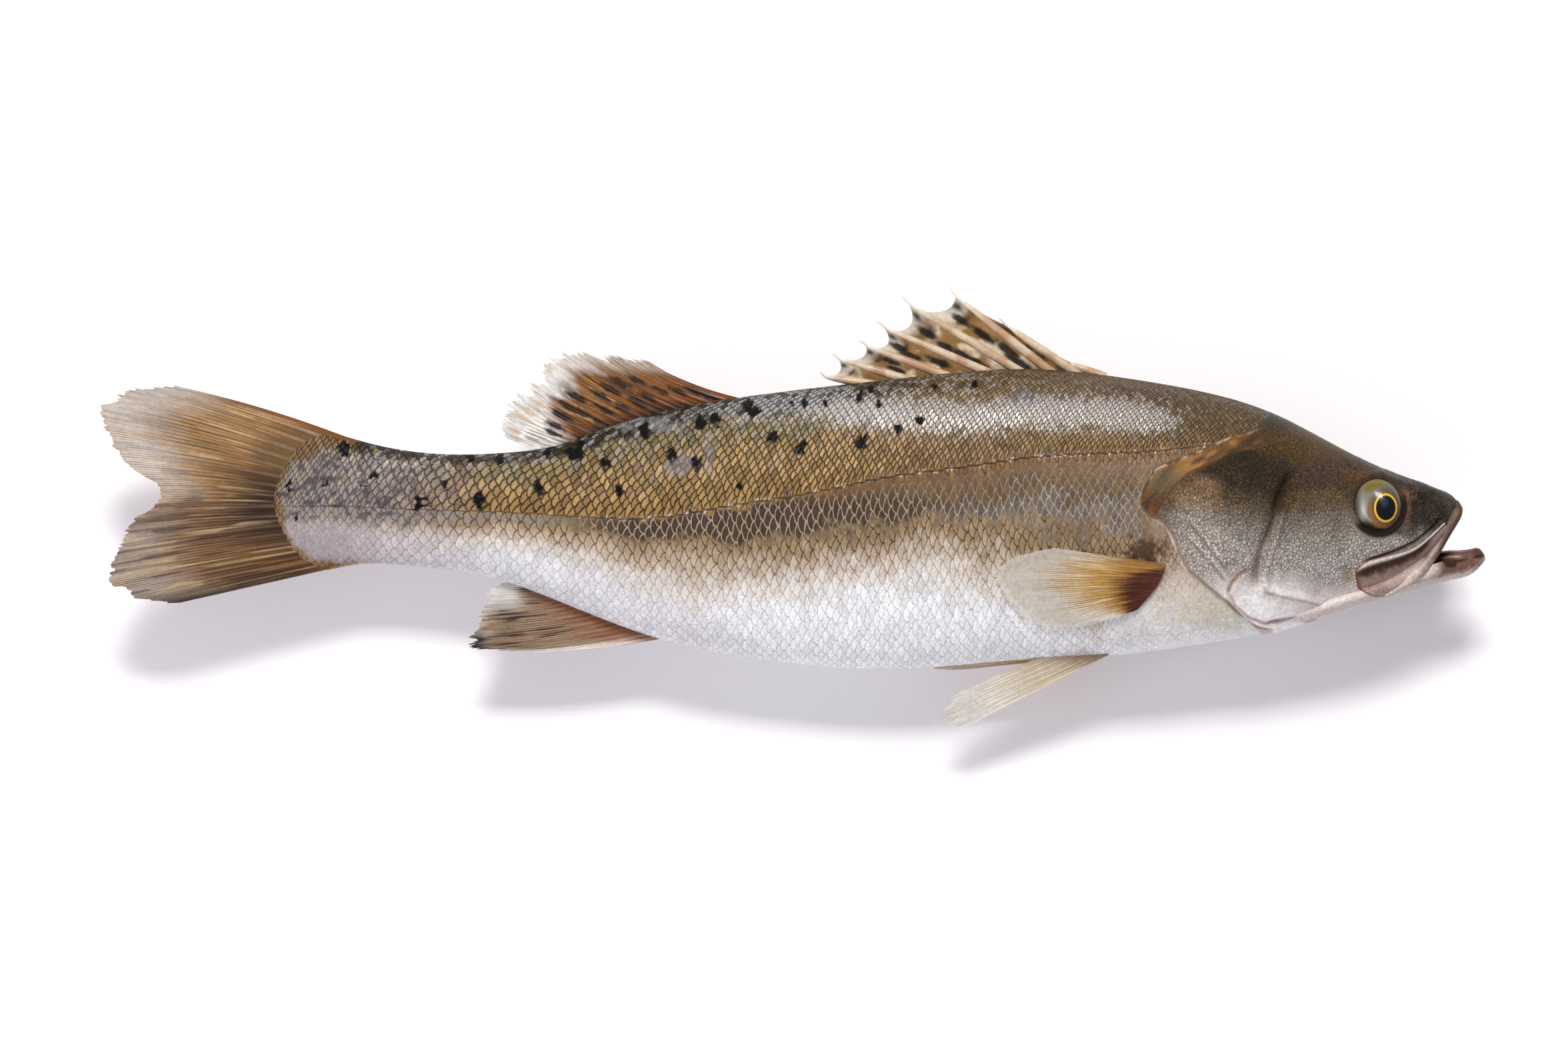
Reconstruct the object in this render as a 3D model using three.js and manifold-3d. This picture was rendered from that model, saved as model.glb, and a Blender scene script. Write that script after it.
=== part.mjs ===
// A whole raw sea bass, 600 mm long, lying on its left side with its right flank up.
//
// The fish is shaped in a frame of its own: x runs forward to the head, y up to the back and z out
// of the right flank, with the plane of symmetry at z = 0. Head and tail are then bent up a little,
// the left flank is pressed flat where the fish lies, and the flat spot is set on z = 0 with the
// middle of the outline over the origin. All lengths are in millimetres.
import * as THREE from "three";
import { mergeVertices } from "three/addons/utils/BufferGeometryUtils.js";
import Module from "manifold-3d";

const wasm = await Module();
wasm.setup();

// ---- Driving dimensions ----

const PRESSED_FLAT = 3.2; // how far the left flank gives where the fish lies on it
const BEND = { middle: 30, radius: 3000 }; // head and tail stand clear of the table

const SNOUT_X = 290.3;
const TAIL_END_X = -224.4; // end of the scaled body, where the tail rays start
const TAIL_ROUND_X = -203; // the body starts to round off here
const JAW_BACK_X = 196;
const JAW_TIP_X = 300;

// Height of the back above the long axis, against x.
const BACK = [
  [-203, 35.6], [-178.7, 28.6], [-152, 25], [-124, 25.6], [-102, 28.9], [-83, 35.6], [-46, 45.6],
  [0, 52.6], [49, 58.2], [107, 61.9], [151, 57], [185, 50.4], [205, 44], [229, 32.2], [255, 19.4],
  [272, 12.9], [281, 9.5], [287.1, 5.6], [SNOUT_X, 1.5],
];
// Height of the belly and throat, and in front of them the edge of the upper jaw.
const BELLY = [
  [-203, -25.6], [-187, -22.6], [-164, -23.4], [-128, -29.2], [-96, -41], [-52, -56.8], [0, -65.6],
  [44, -68.3], [94, -64.6], [136, -62.6], [183, -56.5], [213, -50.9], [240, -42.4], [254, -37.6],
  [263.3, -31.6], [273, -23], [280.5, -14.6], [286.4, -5.6], [SNOUT_X, 1.5],
];
// Half the thickness of the body.
const HALF_WIDTH = [
  [-225, 3], [-215, 6], [-200, 8.6], [-180, 11], [-150, 14.6], [-120, 19], [-90, 24], [-60, 28.6],
  [-30, 32.2], [0, 34.8], [40, 36.6], [80, 37], [120, 36.6], [150, 36], [175, 34.6], [200, 31.4],
  [225, 26.4], [250, 20.2], [270, 13.6], [283, 8.2], [288, 4.6], [SNOUT_X, 1.2],
];
// Where the body is thickest, as a share of its depth from the belly up.
const WIDEST = [[-225, 0.5], [-100, 0.54], [60, 0.56], [150, 0.5], [220, 0.44], [SNOUT_X, 0.45]];
// Roundness of the section: 2 is an ellipse, more is boxy, less runs to a keel.
const BACK_ROUNDNESS = [[-225, 2], [80, 2.05], [200, 2.15], [255, 2.5], [SNOUT_X, 2.2]];
const BELLY_ROUNDNESS = [[-225, 2], [-60, 1.9], [100, 1.85], [200, 2.1], [SNOUT_X, 2.2]];

// Lower jaw: its upper rim, its underside and its half width.
const JAW_RIM = [
  [196, -44], [240, -34], [262, -25.4], [275, -17.6], [286, -15.2], [296, -15], [JAW_TIP_X, -20.6],
];
const JAW_UNDER = [
  [196, -53.6], [213, -50.2], [242, -41.6], [272, -33], [287, -29.2], [296, -25.4], [JAW_TIP_X, -20.8],
];
const JAW_HALF_WIDTH = [
  [196, 5], [212, 13], [230, 17], [245, 16.6], [262, 13], [280, 9], [292, 6.4], [298, 3.6], [JAW_TIP_X, 1],
];
const MOUTH = { x: 272, y: -20, z: 0, long: 22, high: 4.6, wide: 4.8, slopeDeg: 32 };

const EYE = { x: 253.9, y: 2.7, z: 14.2, long: 10.6, high: 11.6, wide: 7, leanDeg: 12 };
const SOCKET = { ...EYE, long: 13, high: 14, wide: 5.5 }; // a groove of soft skin round the eyeball

// ---- Curves ----

// Natural cubic spline through [x, y] knots, with no kink in it.
function spline(knots) {
  const last = knots.length - 1;
  const step = knots.slice(1).map((knot, i) => knot[0] - knots[i][0]);
  const rise = knots.slice(1).map((knot, i) => (knot[1] - knots[i][1]) / step[i]);
  const bend = new Array(last + 1).fill(0);
  const carry = new Array(last + 1).fill(0);
  for (let i = 1; i < last; i++) {
    const pivot = 2 * (step[i - 1] + step[i]) - step[i - 1] * carry[i - 1];
    carry[i] = step[i] / pivot;
    bend[i] = (6 * (rise[i] - rise[i - 1]) - step[i - 1] * bend[i - 1]) / pivot;
  }
  for (let i = last - 1; i > 0; i--) bend[i] -= carry[i] * bend[i + 1];
  return (x) => {
    const at = THREE.MathUtils.clamp(x, knots[0][0], knots[last][0]);
    let i = 0;
    while (i < last - 1 && at > knots[i + 1][0]) i++;
    const t = at - knots[i][0];
    const slope = rise[i] - (step[i] * (2 * bend[i] + bend[i + 1])) / 6;
    const curl = (bend[i + 1] - bend[i]) / (6 * step[i]);
    return knots[i][1] + t * (slope + t * (bend[i] / 2 + t * curl));
  };
}

// A curve in the plane of symmetry through [share, x, y] points, read by a share from 0 to 1.
function track(points) {
  const across = spline(points.map(([share, x]) => [share, x]));
  const up = spline(points.map(([share, , y]) => [share, y]));
  return (share) => new THREE.Vector2(across(share), up(share));
}

const inSteps = (count, make) => Array.from({ length: count + 1 }, (_, i) => make(i / count, i));
const easedOut = (share) => Math.sin((share * Math.PI) / 2); // steps get shorter towards the end

// ---- Closed meshes ----

function closedMesh(points, triangles) {
  const mesh = new THREE.BufferGeometry();
  mesh.setAttribute("position", new THREE.Float32BufferAttribute(points.flatMap((p) => p.toArray()), 3));
  mesh.setIndex(triangles);
  return mesh;
}

// Rings of points joined into a tube, with each end closed on its middle point.
function loft(rings) {
  const around = rings[0].length;
  const points = rings.flat();
  const triangles = [];
  for (let i = 0; i + 1 < rings.length; i++)
    for (let j = 0; j < around; j++) {
      const [a, b] = [i * around + j, i * around + ((j + 1) % around)];
      triangles.push(a, a + around, b + around, a, b + around, b);
    }
  const close = (ring, start, forwards) => {
    const middle = ring.reduce((sum, p) => sum.add(p), new THREE.Vector3()).divideScalar(around);
    const centre = points.push(middle) - 1;
    for (let j = 0; j < around; j++) {
      const [a, b] = [start + j, start + ((j + 1) % around)];
      triangles.push(...(forwards ? [centre, a, b] : [centre, b, a]));
    }
  };
  close(rings[0], 0, true);
  close(rings.at(-1), (rings.length - 1) * around, false);
  return closedMesh(points, triangles);
}

// A thin plate between two faces, each a grid of points of the same size.
function plate(face) {
  const [front, back] = [face(1), face(-1)];
  const [rows, columns] = [front.length, front[0].length];
  const triangles = [];
  const quad = (a, b, c, d) => triangles.push(a, b, c, a, c, d);
  const at = (i, j) => i * columns + j;
  const behind = rows * columns;
  for (let i = 0; i + 1 < rows; i++)
    for (let j = 0; j + 1 < columns; j++) {
      const [a, b, c, d] = [at(i, j), at(i + 1, j), at(i + 1, j + 1), at(i, j + 1)];
      quad(a, b, c, d);
      quad(behind + d, behind + c, behind + b, behind + a);
    }
  const rim = [];
  for (let j = 0; j < columns; j++) rim.push(at(0, j));
  for (let i = 1; i < rows; i++) rim.push(at(i, columns - 1));
  for (let j = columns - 2; j >= 0; j--) rim.push(at(rows - 1, j));
  for (let i = rows - 2; i > 0; i--) rim.push(at(i, 0));
  rim.forEach((a, k) => {
    const b = rim[(k + 1) % rim.length];
    quad(a, b, behind + b, behind + a);
  });
  return closedMesh([...front.flat(), ...back.flat()], triangles);
}

// An ellipsoid, turned nose up by `slopeDeg` and facing up to the back by `leanDeg`.
function ellipsoid({ x, y, z, long, high, wide, slopeDeg = 0, leanDeg = 0 }) {
  const shape = new THREE.SphereGeometry(1, 16, 10);
  shape.scale(long, high, wide);
  shape.rotateZ(THREE.MathUtils.degToRad(slopeDeg));
  shape.rotateX(-THREE.MathUtils.degToRad(leanDeg));
  return shape.translate(x, y, z);
}

const mirrored = (mesh) => mesh.clone().scale(1, 1, -1);

// ---- Body and head ----

const backLine = spline(BACK);
const bellyLine = spline(BELLY);
const halfWidth = spline(HALF_WIDTH);
const widest = spline(WIDEST);
const backRoundness = spline(BACK_ROUNDNESS);
const bellyRoundness = spline(BELLY_ROUNDNESS);

// The body's section at x. At the tail it rounds off towards the roots of the rays.
function sectionAt(x) {
  const [high, low] = [backLine, bellyLine].map((line) => line(Math.max(x, TAIL_ROUND_X)));
  const past = THREE.MathUtils.clamp((TAIL_ROUND_X - x) / (TAIL_ROUND_X - TAIL_END_X), 0, 0.999);
  const [middle, half] = [(high + low) / 2, ((high - low) / 2) * (1 - past ** 2.2) ** (1 / 2.2)];
  return {
    back: middle + half,
    belly: middle - half,
    thick: middle + half * (2 * widest(x) - 1),
    half: halfWidth(x),
    backPower: backRoundness(x),
    bellyPower: bellyRoundness(x),
  };
}

// How far the skin stands out from the plane of symmetry at a place on the flank.
function skinAt(x, y) {
  const s = sectionAt(x);
  const [reach, power] = y >= s.thick ? [s.back - s.thick, s.backPower] : [s.thick - s.belly, s.bellyPower];
  return s.half * Math.sqrt(1 - Math.min(1, Math.abs(y - s.thick) / reach) ** power);
}

// A ring round the section, whose upper and lower halves are superellipses of their own.
function sectionRing(x, around) {
  const s = sectionAt(x);
  return Array.from({ length: around }, (_, j) => {
    const turn = (2 * Math.PI * j) / around;
    const [up, out] = [Math.cos(turn), Math.sin(turn)];
    const [reach, power] = up >= 0 ? [s.back - s.thick, s.backPower] : [s.thick - s.belly, s.bellyPower];
    const height = Math.sign(up) * reach * Math.abs(up) ** (2 / power);
    return new THREE.Vector3(x, s.thick + height, s.half * out);
  });
}

// The stations lie closer together at the tail's round end and over the head.
function makeBody() {
  const [start, trunk, head, end] = [TAIL_END_X + 0.05, -200, 172, SNOUT_X - 0.1];
  const stations = [
    ...inSteps(6, (share) => THREE.MathUtils.lerp(start, trunk, share ** 1.5)),
    ...inSteps(25, (share) => THREE.MathUtils.lerp(trunk, head, share)).slice(1),
    ...inSteps(20, (share) => THREE.MathUtils.lerp(head, end, easedOut(share))).slice(1),
  ];
  return loft(stations.map((x) => sectionRing(x, 26)));
}

function makeLowerJaw() {
  const [rim, under, wide] = [spline(JAW_RIM), spline(JAW_UNDER), spline(JAW_HALF_WIDTH)];
  const around = 16;
  const ringAt = (x) =>
    Array.from({ length: around }, (_, j) => {
      const turn = (2 * Math.PI * j) / around;
      const [up, out] = [Math.cos(turn), Math.sin(turn)].map((c) => Math.sign(c) * Math.abs(c) ** 0.8);
      const middle = (rim(x) + under(x)) / 2;
      const flare = 1 + 0.12 * up; // wider at the lips than underneath
      return new THREE.Vector3(x, middle + ((rim(x) - under(x)) / 2) * up, wide(x) * flare * out);
    });
  const end = JAW_TIP_X - 0.1;
  return loft(inSteps(15, (share) => ringAt(THREE.MathUtils.lerp(JAW_BACK_X, end, easedOut(share)))));
}

// ---- Plates on the side of the head ----

// A plate with a round outline that follows the skin. Its rim stands proud of the skin by `rimLift`,
// its middle by `middleLift`, and its underside is sunk into the flesh.
function headPlate({ outline, middle, middleLift, rimLift }) {
  const edge = track(outline);
  const [rings, around, sunk] = [2, 20, 2.5];
  const layer = (lift) =>
    inSteps(rings, (share) =>
      Array.from({ length: around }, (_, j) => {
        const r = Math.max(share, 0.02);
        const p = new THREE.Vector2(...middle).lerp(edge(j / around), r);
        return new THREE.Vector3(p.x, p.y, Math.max(skinAt(p.x, p.y), 1) + lift(r));
      }),
    );
  const outside = layer((r) => THREE.MathUtils.lerp(middleLift, rimLift, r));
  const inside = layer(() => -sunk);
  return loft([...outside, ...inside.reverse()]);
}

const GILL_COVER = {
  middle: [186, -8],
  outline: [
    [0, 211, 0], [0.07, 205, 25], [0.13, 194, 33.4], [0.2, 178.8, 27.4], [0.28, 158.6, 18], [0.34, 150, 7],
    [0.4, 154.6, -3.4], [0.47, 163.6, -9], [0.53, 166.6, -19], [0.6, 175.6, -31], [0.66, 186, -37.4],
    [0.73, 198.7, -47.4], [0.8, 212, -49], [0.88, 216, -38], [1, 211, 0],
  ],
  middleLift: 1,
  rimLift: 1.5,
};
const CHEEK = {
  middle: [224, -17],
  outline: [
    [0, 246, -16], [0.1, 240, -4], [0.2, 224, 8], [0.28, 212, 9], [0.36, 207, 2], [0.5, 200.6, -20],
    [0.6, 201.6, -34], [0.68, 209, -42], [0.78, 226, -42.6], [0.88, 243, -37], [1, 246, -16],
  ],
  middleLift: 0.8,
  rimLift: 1.2,
};
const UPPER_JAW = {
  middle: [262, -25],
  outline: [
    [0, 287, 2], [0.12, 274.4, -10.6], [0.25, 262, -18.4], [0.38, 247.6, -25], [0.48, 244, -30],
    [0.56, 248, -36], [0.64, 254, -37.6], [0.74, 263, -31.4], [0.85, 273, -22.4], [0.94, 283.6, -9],
    [1, 287, 2],
  ],
  middleLift: 1.3,
  rimLift: 1.3,
};

// ---- Fins ----

// A fan of rays. Each ray runs from root(share) to tip(share), bowed sideways by bow(share). The rays
// are thick and the skin between them is thin, and the free edge is notched between the ray tips.
function rayFin({ root, tip, rays, rows, thickRoot, thickTip, notch = 1.5, bow, off = () => 0 }) {
  return plate((side) =>
    inSteps(2 * rays - 2, (share, i) => {
      const between = i % 2; // 0 on a ray, 1 on the skin between two rays
      const ray = tip(share).sub(root(share));
      const sideways = new THREE.Vector2(-ray.y, ray.x).normalize();
      return inSteps(rows, (step) => {
        const along = step * (1 - (between * notch) / ray.length());
        const p = root(share)
          .addScaledVector(ray, along)
          .addScaledVector(sideways, bow ? bow(share) * 4 * along * (1 - along) : 0);
        const thick = THREE.MathUtils.lerp(thickRoot, thickTip, along) * (1 - between / 2);
        return new THREE.Vector3(p.x, p.y, off(p.x, p.y) + (side * thick) / 2);
      });
    }),
  );
}

const TAIL_FIN = {
  root: track([[0, -200, 33.6], [0.25, -212, 20], [0.5, -214, 6], [0.75, -212, -9], [1, -200, -24.4]]),
  tip: track([
    [0, -272, 55.6], [0.08, -287, 52.6], [0.16, -298.6, 46], [0.24, -299.6, 39.4], [0.34, -291, 24.6],
    [0.42, -284, 16], [0.5, -274.4, 8], [0.56, -280, -1.4], [0.66, -291.6, -12], [0.76, -297, -22.6],
    [0.86, -295.4, -30.6], [0.93, -284, -37], [1, -266, -40],
  ]),
  bow: (share) => 2.6 * Math.cos(Math.PI * share),
  rays: 17,
  rows: 4,
  thickRoot: 4,
  thickTip: 1,
  // Each lobe leans a little out of the plane of symmetry, its own way.
  off: (x, y) => 2.2 * ((x - TAIL_END_X) / 76) ** 2 * Math.sin((y - 4) / 22),
};
const REAR_BACK_FIN = {
  root: track([[0, -16, 48], [0.25, -38, 44], [0.5, -61, 38.6], [0.75, -83, 31.6], [1, -101, 26]]),
  tip: track([
    [0, -66, 66.8], [0.12, -77, 68.6], [0.25, -89, 69.4], [0.4, -103, 69.6], [0.5, -109.6, 65.6],
    [0.62, -115, 58.6], [0.75, -121.4, 52.6], [0.88, -128.6, 42], [0.95, -129.4, 37.2], [1, -126, 32.4],
  ]),
  bow: (share) => 2.4 - 1.4 * share,
  rays: 13,
  rows: 4,
  thickRoot: 3,
  thickTip: 0.9,
};
const ANAL_FIN = {
  root: track([[0, -52, -54], [0.3, -70, -46.6], [0.6, -88, -39.6], [1, -104, -31.6]]),
  tip: track([
    [0, -118, -60.8], [0.12, -132, -60.4], [0.24, -142, -58.6], [0.4, -139, -52.6], [0.6, -136.4, -45],
    [0.8, -134, -37.6], [0.92, -131, -32.4], [1, -124, -30.4],
  ]),
  bow: (share) => 1.8 * (1 - share),
  rays: 10,
  rows: 4,
  thickRoot: 3.2,
  thickTip: 1,
};

// The front fin of the back is folded: stout spines lie back, with skin that dips between their tips.
const SPINES = [
  { root: [136, 58.4], tip: [119, 64.8] },
  { root: [126, 58.4], tip: [90.4, 82.6] },
  { root: [115, 58.6], tip: [68.6, 95.5] },
  { root: [102, 59], tip: [48, 91.8] },
  { root: [90, 58.4], tip: [37, 81.3] },
  { root: [74, 56.4], tip: [29.6, 72.9] },
  { root: [56, 55.6], tip: [18, 66.9] },
  { root: [40, 54.4], tip: [12.4, 59] },
];
const SPINE_ROOT_RADIUS = 1.9;
const SPINE_TIP_RADIUS = 0.45;
const SPINE_SKIN = 1;
const alongSpine = ({ root, tip }, share) =>
  new THREE.Vector2(...root).lerp(new THREE.Vector2(...tip), share);

function makeSpine(spine) {
  const [root, way] = [alongSpine(spine, 0), alongSpine(spine, 1).sub(alongSpine(spine, 0))];
  const cone = new THREE.CylinderGeometry(SPINE_TIP_RADIUS, SPINE_ROOT_RADIUS, way.length(), 6, 1);
  cone.translate(0, way.length() / 2, 0);
  cone.rotateZ(way.angle() - Math.PI / 2);
  return cone.translate(root.x, root.y, 0);
}

// The skin behind a spine: its edge starts near that spine's tip, dips, and ends on the next spine.
const makeSpineSkin = (front, rear) =>
  plate((side) =>
    inSteps(3, (back) =>
      inSteps(3, (out) => {
        const root = alongSpine(front, 0).lerp(alongSpine(rear, 0), back);
        const dip = 0.6 * out * back * (1 - back);
        const p = alongSpine(front, out * 0.93).lerp(alongSpine(rear, out * 0.7), back).lerp(root, dip);
        return new THREE.Vector3(p.x, p.y, (side * SPINE_SKIN) / 2);
      }),
    ),
  );

// The right pelvic fin hangs clear of the belly and droops. The left one is folded back along it.
const PELVIC_ROOT = track([[0, 137, -62], [0.5, 129, -59], [1, 118, -57]]);
const PELVIC_FIN = { root: PELVIC_ROOT, rays: 7, rows: 4, thickRoot: 3.4, thickTip: 1, notch: 2 };
const RIGHT_PELVIC_FIN = {
  ...PELVIC_FIN,
  tip: track([[0, 71, -95.6], [0.3, 60.6, -92], [0.6, 66, -85], [0.85, 73, -77.4], [1, 88, -72.6]]),
  off: (x, y) => 5 - 0.35 * Math.max(0, -62 - y),
};
const LEFT_PELVIC_FIN = {
  ...PELVIC_FIN,
  tip: track([[0, 71, -70.2], [0.3, 60.6, -69.4], [0.6, 62, -65], [1, 76, -60]]),
  off: (x, y) => -Math.max(5, skinAt(x, y) + 1.2),
};

// The pectoral fin lies back on the flank, and the upper one lifts off it a little towards its tip.
const PECTORAL_FIN = {
  root: track([[0, 160.6, -22.4], [0.5, 157, -31.6], [1, 148.4, -42.4]]),
  tip: track([
    [0, 112, -15.4], [0.1, 101, -17.4], [0.22, 90.4, -21.4], [0.34, 86.6, -27], [0.46, 89, -33.4],
    [0.6, 94, -41], [0.72, 102, -47.4], [0.86, 116, -50.4], [1, 131, -48.4],
  ]),
  rays: 13,
  rows: 5,
  thickRoot: 1.8,
  thickTip: 0.8,
  sunk: 1.2,
};

function makePectoralFin(tipLift) {
  const { root, tip, rays, rows, thickRoot, thickTip, sunk } = PECTORAL_FIN;
  return plate((side) =>
    inSteps(2 * rays - 2, (share, i) =>
      inSteps(rows, (along) => {
        const p = root(share).lerp(tip(share), along * (1 - 0.015 * (i % 2)));
        const thick = THREE.MathUtils.lerp(thickRoot, thickTip, along) * (1 - 0.45 * (i % 2));
        const height = side > 0 ? 0.4 + tipLift * along + thick : -sunk;
        return new THREE.Vector3(p.x, p.y, skinAt(p.x, p.y) + height);
      }),
    ),
  );
}

// ---- The whole fish ----

function bentUp(mesh) {
  const at = mesh.attributes.position;
  for (let i = 0; i < at.count; i++)
    at.setZ(i, at.getZ(i) + (at.getX(i) - BEND.middle) ** 2 / (2 * BEND.radius));
  return mesh;
}

// A solid to cut and join with, from a closed mesh that may be inside out or have triangles of no size.
function solidOf(mesh) {
  mesh.deleteAttribute("normal");
  mesh.deleteAttribute("uv");
  const merged = mergeVertices(mesh, 1e-4);
  const corners = [];
  for (let i = 0; i < merged.index.count; i += 3) {
    const [a, b, c] = [0, 1, 2].map((k) => merged.index.getX(i + k));
    if (a !== b && b !== c && c !== a) corners.push(a, b, c);
  }
  const make = (triVerts) =>
    new wasm.Manifold(
      new wasm.Mesh({
        numProp: 3,
        vertProperties: Float32Array.from(merged.attributes.position.array),
        triVerts: Uint32Array.from(triVerts),
      }),
    );
  const solid = make(corners);
  return solid.volume() > 0 ? solid : make(corners.reverse());
}

function meshOf(solid) {
  const { vertProperties, triVerts } = solid.getMesh();
  const mesh = new THREE.BufferGeometry();
  mesh.setAttribute("position", new THREE.BufferAttribute(Float32Array.from(vertProperties), 3));
  return mesh.setIndex(new THREE.BufferAttribute(Uint32Array.from(triVerts), 1));
}

function makeFish() {
  const eye = ellipsoid(EYE);
  const socket = ellipsoid(SOCKET);
  const plates = [GILL_COVER, CHEEK, UPPER_JAW].map(headPlate);
  const added = [
    makeLowerJaw(),
    ...plates,
    ...plates.map(mirrored),
    ...[TAIL_FIN, REAR_BACK_FIN, ANAL_FIN, RIGHT_PELVIC_FIN, LEFT_PELVIC_FIN].map(rayFin),
    ...SPINES.map(makeSpine),
    ...SPINES.slice(1).map((rear, i) => makeSpineSkin(SPINES[i], rear)),
    makePectoralFin(1.8),
    mirrored(makePectoralFin(0)),
  ];
  const join = (whole, mesh) => whole.add(solidOf(bentUp(mesh)));
  const cut = (whole, mesh) => whole.subtract(solidOf(bentUp(mesh)));
  const body = added.reduce(join, solidOf(bentUp(makeBody())));
  const hollowed = [ellipsoid(MOUTH), socket, mirrored(socket)].reduce(cut, body);
  return [eye, mirrored(eye)].reduce(join, hollowed);
}

// Presses the lower flank flat and sets the fish down on it, over the origin.
function laidDown(fish) {
  const box = new THREE.Box3().setFromBufferAttribute(meshOf(fish).attributes.position);
  const [size, middle] = [box.getSize(new THREE.Vector3()), box.getCenter(new THREE.Vector3())];
  const under = new THREE.BoxGeometry(size.x * 1.2, size.y * 1.2, 2 * PRESSED_FLAT);
  const pressed = fish.subtract(solidOf(under.translate(middle.x, middle.y, box.min.z)));
  return meshOf(pressed).translate(-middle.x, -middle.y, -(box.min.z + PRESSED_FLAT));
}

const wetSkin = new THREE.MeshStandardMaterial({ color: 0x9a9484, roughness: 0.35, metalness: 0 });
const fish = new THREE.Mesh(laidDown(makeFish()), wetSkin);
fish.geometry.computeVertexNormals();
fish.name = "fish";

const group = new THREE.Group();
group.add(fish);

export default group;
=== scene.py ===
import bpy
import numpy as np
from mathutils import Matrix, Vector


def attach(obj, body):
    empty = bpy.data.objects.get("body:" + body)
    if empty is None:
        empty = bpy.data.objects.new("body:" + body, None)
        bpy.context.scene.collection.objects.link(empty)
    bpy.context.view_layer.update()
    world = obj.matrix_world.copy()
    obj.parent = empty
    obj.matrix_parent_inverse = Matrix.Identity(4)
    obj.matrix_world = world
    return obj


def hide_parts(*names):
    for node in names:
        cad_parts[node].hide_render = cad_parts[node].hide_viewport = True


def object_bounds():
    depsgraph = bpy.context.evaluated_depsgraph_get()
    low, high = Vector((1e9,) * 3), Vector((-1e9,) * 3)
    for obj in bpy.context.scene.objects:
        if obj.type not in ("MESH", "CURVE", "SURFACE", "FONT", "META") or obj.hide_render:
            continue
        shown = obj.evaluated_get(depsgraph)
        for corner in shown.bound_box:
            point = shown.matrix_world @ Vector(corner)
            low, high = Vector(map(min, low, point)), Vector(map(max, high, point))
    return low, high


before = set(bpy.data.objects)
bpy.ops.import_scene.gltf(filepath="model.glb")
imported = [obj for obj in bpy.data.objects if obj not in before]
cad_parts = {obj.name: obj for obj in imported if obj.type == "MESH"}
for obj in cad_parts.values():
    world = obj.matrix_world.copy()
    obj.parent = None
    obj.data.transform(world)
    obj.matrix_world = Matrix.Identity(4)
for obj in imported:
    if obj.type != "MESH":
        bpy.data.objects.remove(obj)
cadBox = [list(corner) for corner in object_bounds()]
cadLow, cadHigh = [np.array(corner) * 1000 for corner in cadBox]

# The fish is worked out in millimetres in a frame of its own: x forward to the head, y up to the back,
# z out of the right flank, with the plane of symmetry at z = 0. toFrame() lays it down on z = 0.
body = {
    "snout": 290.3, "tailEnd": -224.4, "tailRound": -201,
    "bendMiddle": 30, "bendRadius": 3000,  # head and tail stand clear of the floor
    "pressedFlat": 3.2,                    # how far the left flank gives under the fish's weight
    "back": [(-203, 35.6), (-178.7, 28.6), (-152, 25), (-124, 25.6), (-102, 28.9), (-83, 35.6), (-46, 45.6),
             (0, 52.6), (49, 58.2), (107, 61.9), (151, 57), (185, 50.4), (205, 44), (229, 32.2), (255, 19.4),
             (272, 12.9), (281, 9.5), (287.1, 5.6), (290.3, 1.5)],
    "belly": [(-203, -25.6), (-187, -22.6), (-164, -23.4), (-128, -29.2), (-96, -41), (-52, -56.8),
              (0, -65.6), (44, -68.3), (94, -64.6), (136, -62.6), (183, -56.5), (213, -50.9), (240, -42.4),
              (254, -37.6), (263.3, -31.6), (273, -23), (280.5, -14.6), (286.4, -5.6), (290.3, 1.5)],
    "halfWidth": [(-225, 2.1), (-215, 4.3), (-200, 7.2), (-180, 10.4), (-150, 14.6), (-120, 19), (-90, 24),
                  (-60, 28.6), (-30, 32.2), (0, 34.8), (40, 36.6), (80, 37), (120, 36.6), (150, 36),
                  (175, 34.6), (200, 31.4), (225, 26.4), (250, 20.2), (270, 13.6), (283, 8.2), (288, 4.6),
                  (290.3, 1.2)],
    "widest": [(-225, 0.5), (-100, 0.54), (60, 0.56), (150, 0.5), (220, 0.44), (290.3, 0.45)],
    "backRoundness": [(-225, 2), (80, 2.05), (200, 2.15), (255, 2.5), (290.3, 2.2)],
    "bellyRoundness": [(-225, 2), (-60, 1.9), (100, 1.85), (200, 2.1), (290.3, 2.2)],
    "lateralLine": [(-224, 2.4), (-192, 2.2), (-150, 0.6), (-116, -0.5), (-80, -2.8), (-50, -1.6), (-21, 3.6),
                    (0, 6.6), (22, 11), (52, 16.6), (76, 19.5), (94, 22.2), (120, 24.6), (154, 26),
                    (178, 28.5), (214, 33)],
}
jawTip = 299.9       # the furthest point of the head
finBottom = -95.6    # the lowest point of the right pelvic fin


def curve(knots):
    # Natural cubic spline: the second derivatives solve one small linear system.
    x, y = np.array(knots, float).T
    step, rise, last = np.diff(x), np.diff(y) / np.diff(x), len(x) - 1
    system, right, i = np.eye(last + 1), np.zeros(last + 1), np.arange(1, last)
    system[i, i - 1], system[i, i], system[i, i + 1] = step[:-1], 2 * (step[:-1] + step[1:]), step[1:]
    right[i] = 6 * np.diff(rise)
    bend = np.linalg.solve(system, right)

    def at(where):
        where = np.clip(where, x[0], x[-1])
        k = np.clip(np.searchsorted(x, where) - 1, 0, last - 1)
        t, slope = where - x[k], rise[k] - step[k] * (2 * bend[k] + bend[k + 1]) / 6
        return y[k] + t * (slope + t * (bend[k] / 2 + t * (bend[k + 1] - bend[k]) / (6 * step[k])))
    return at


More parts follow.
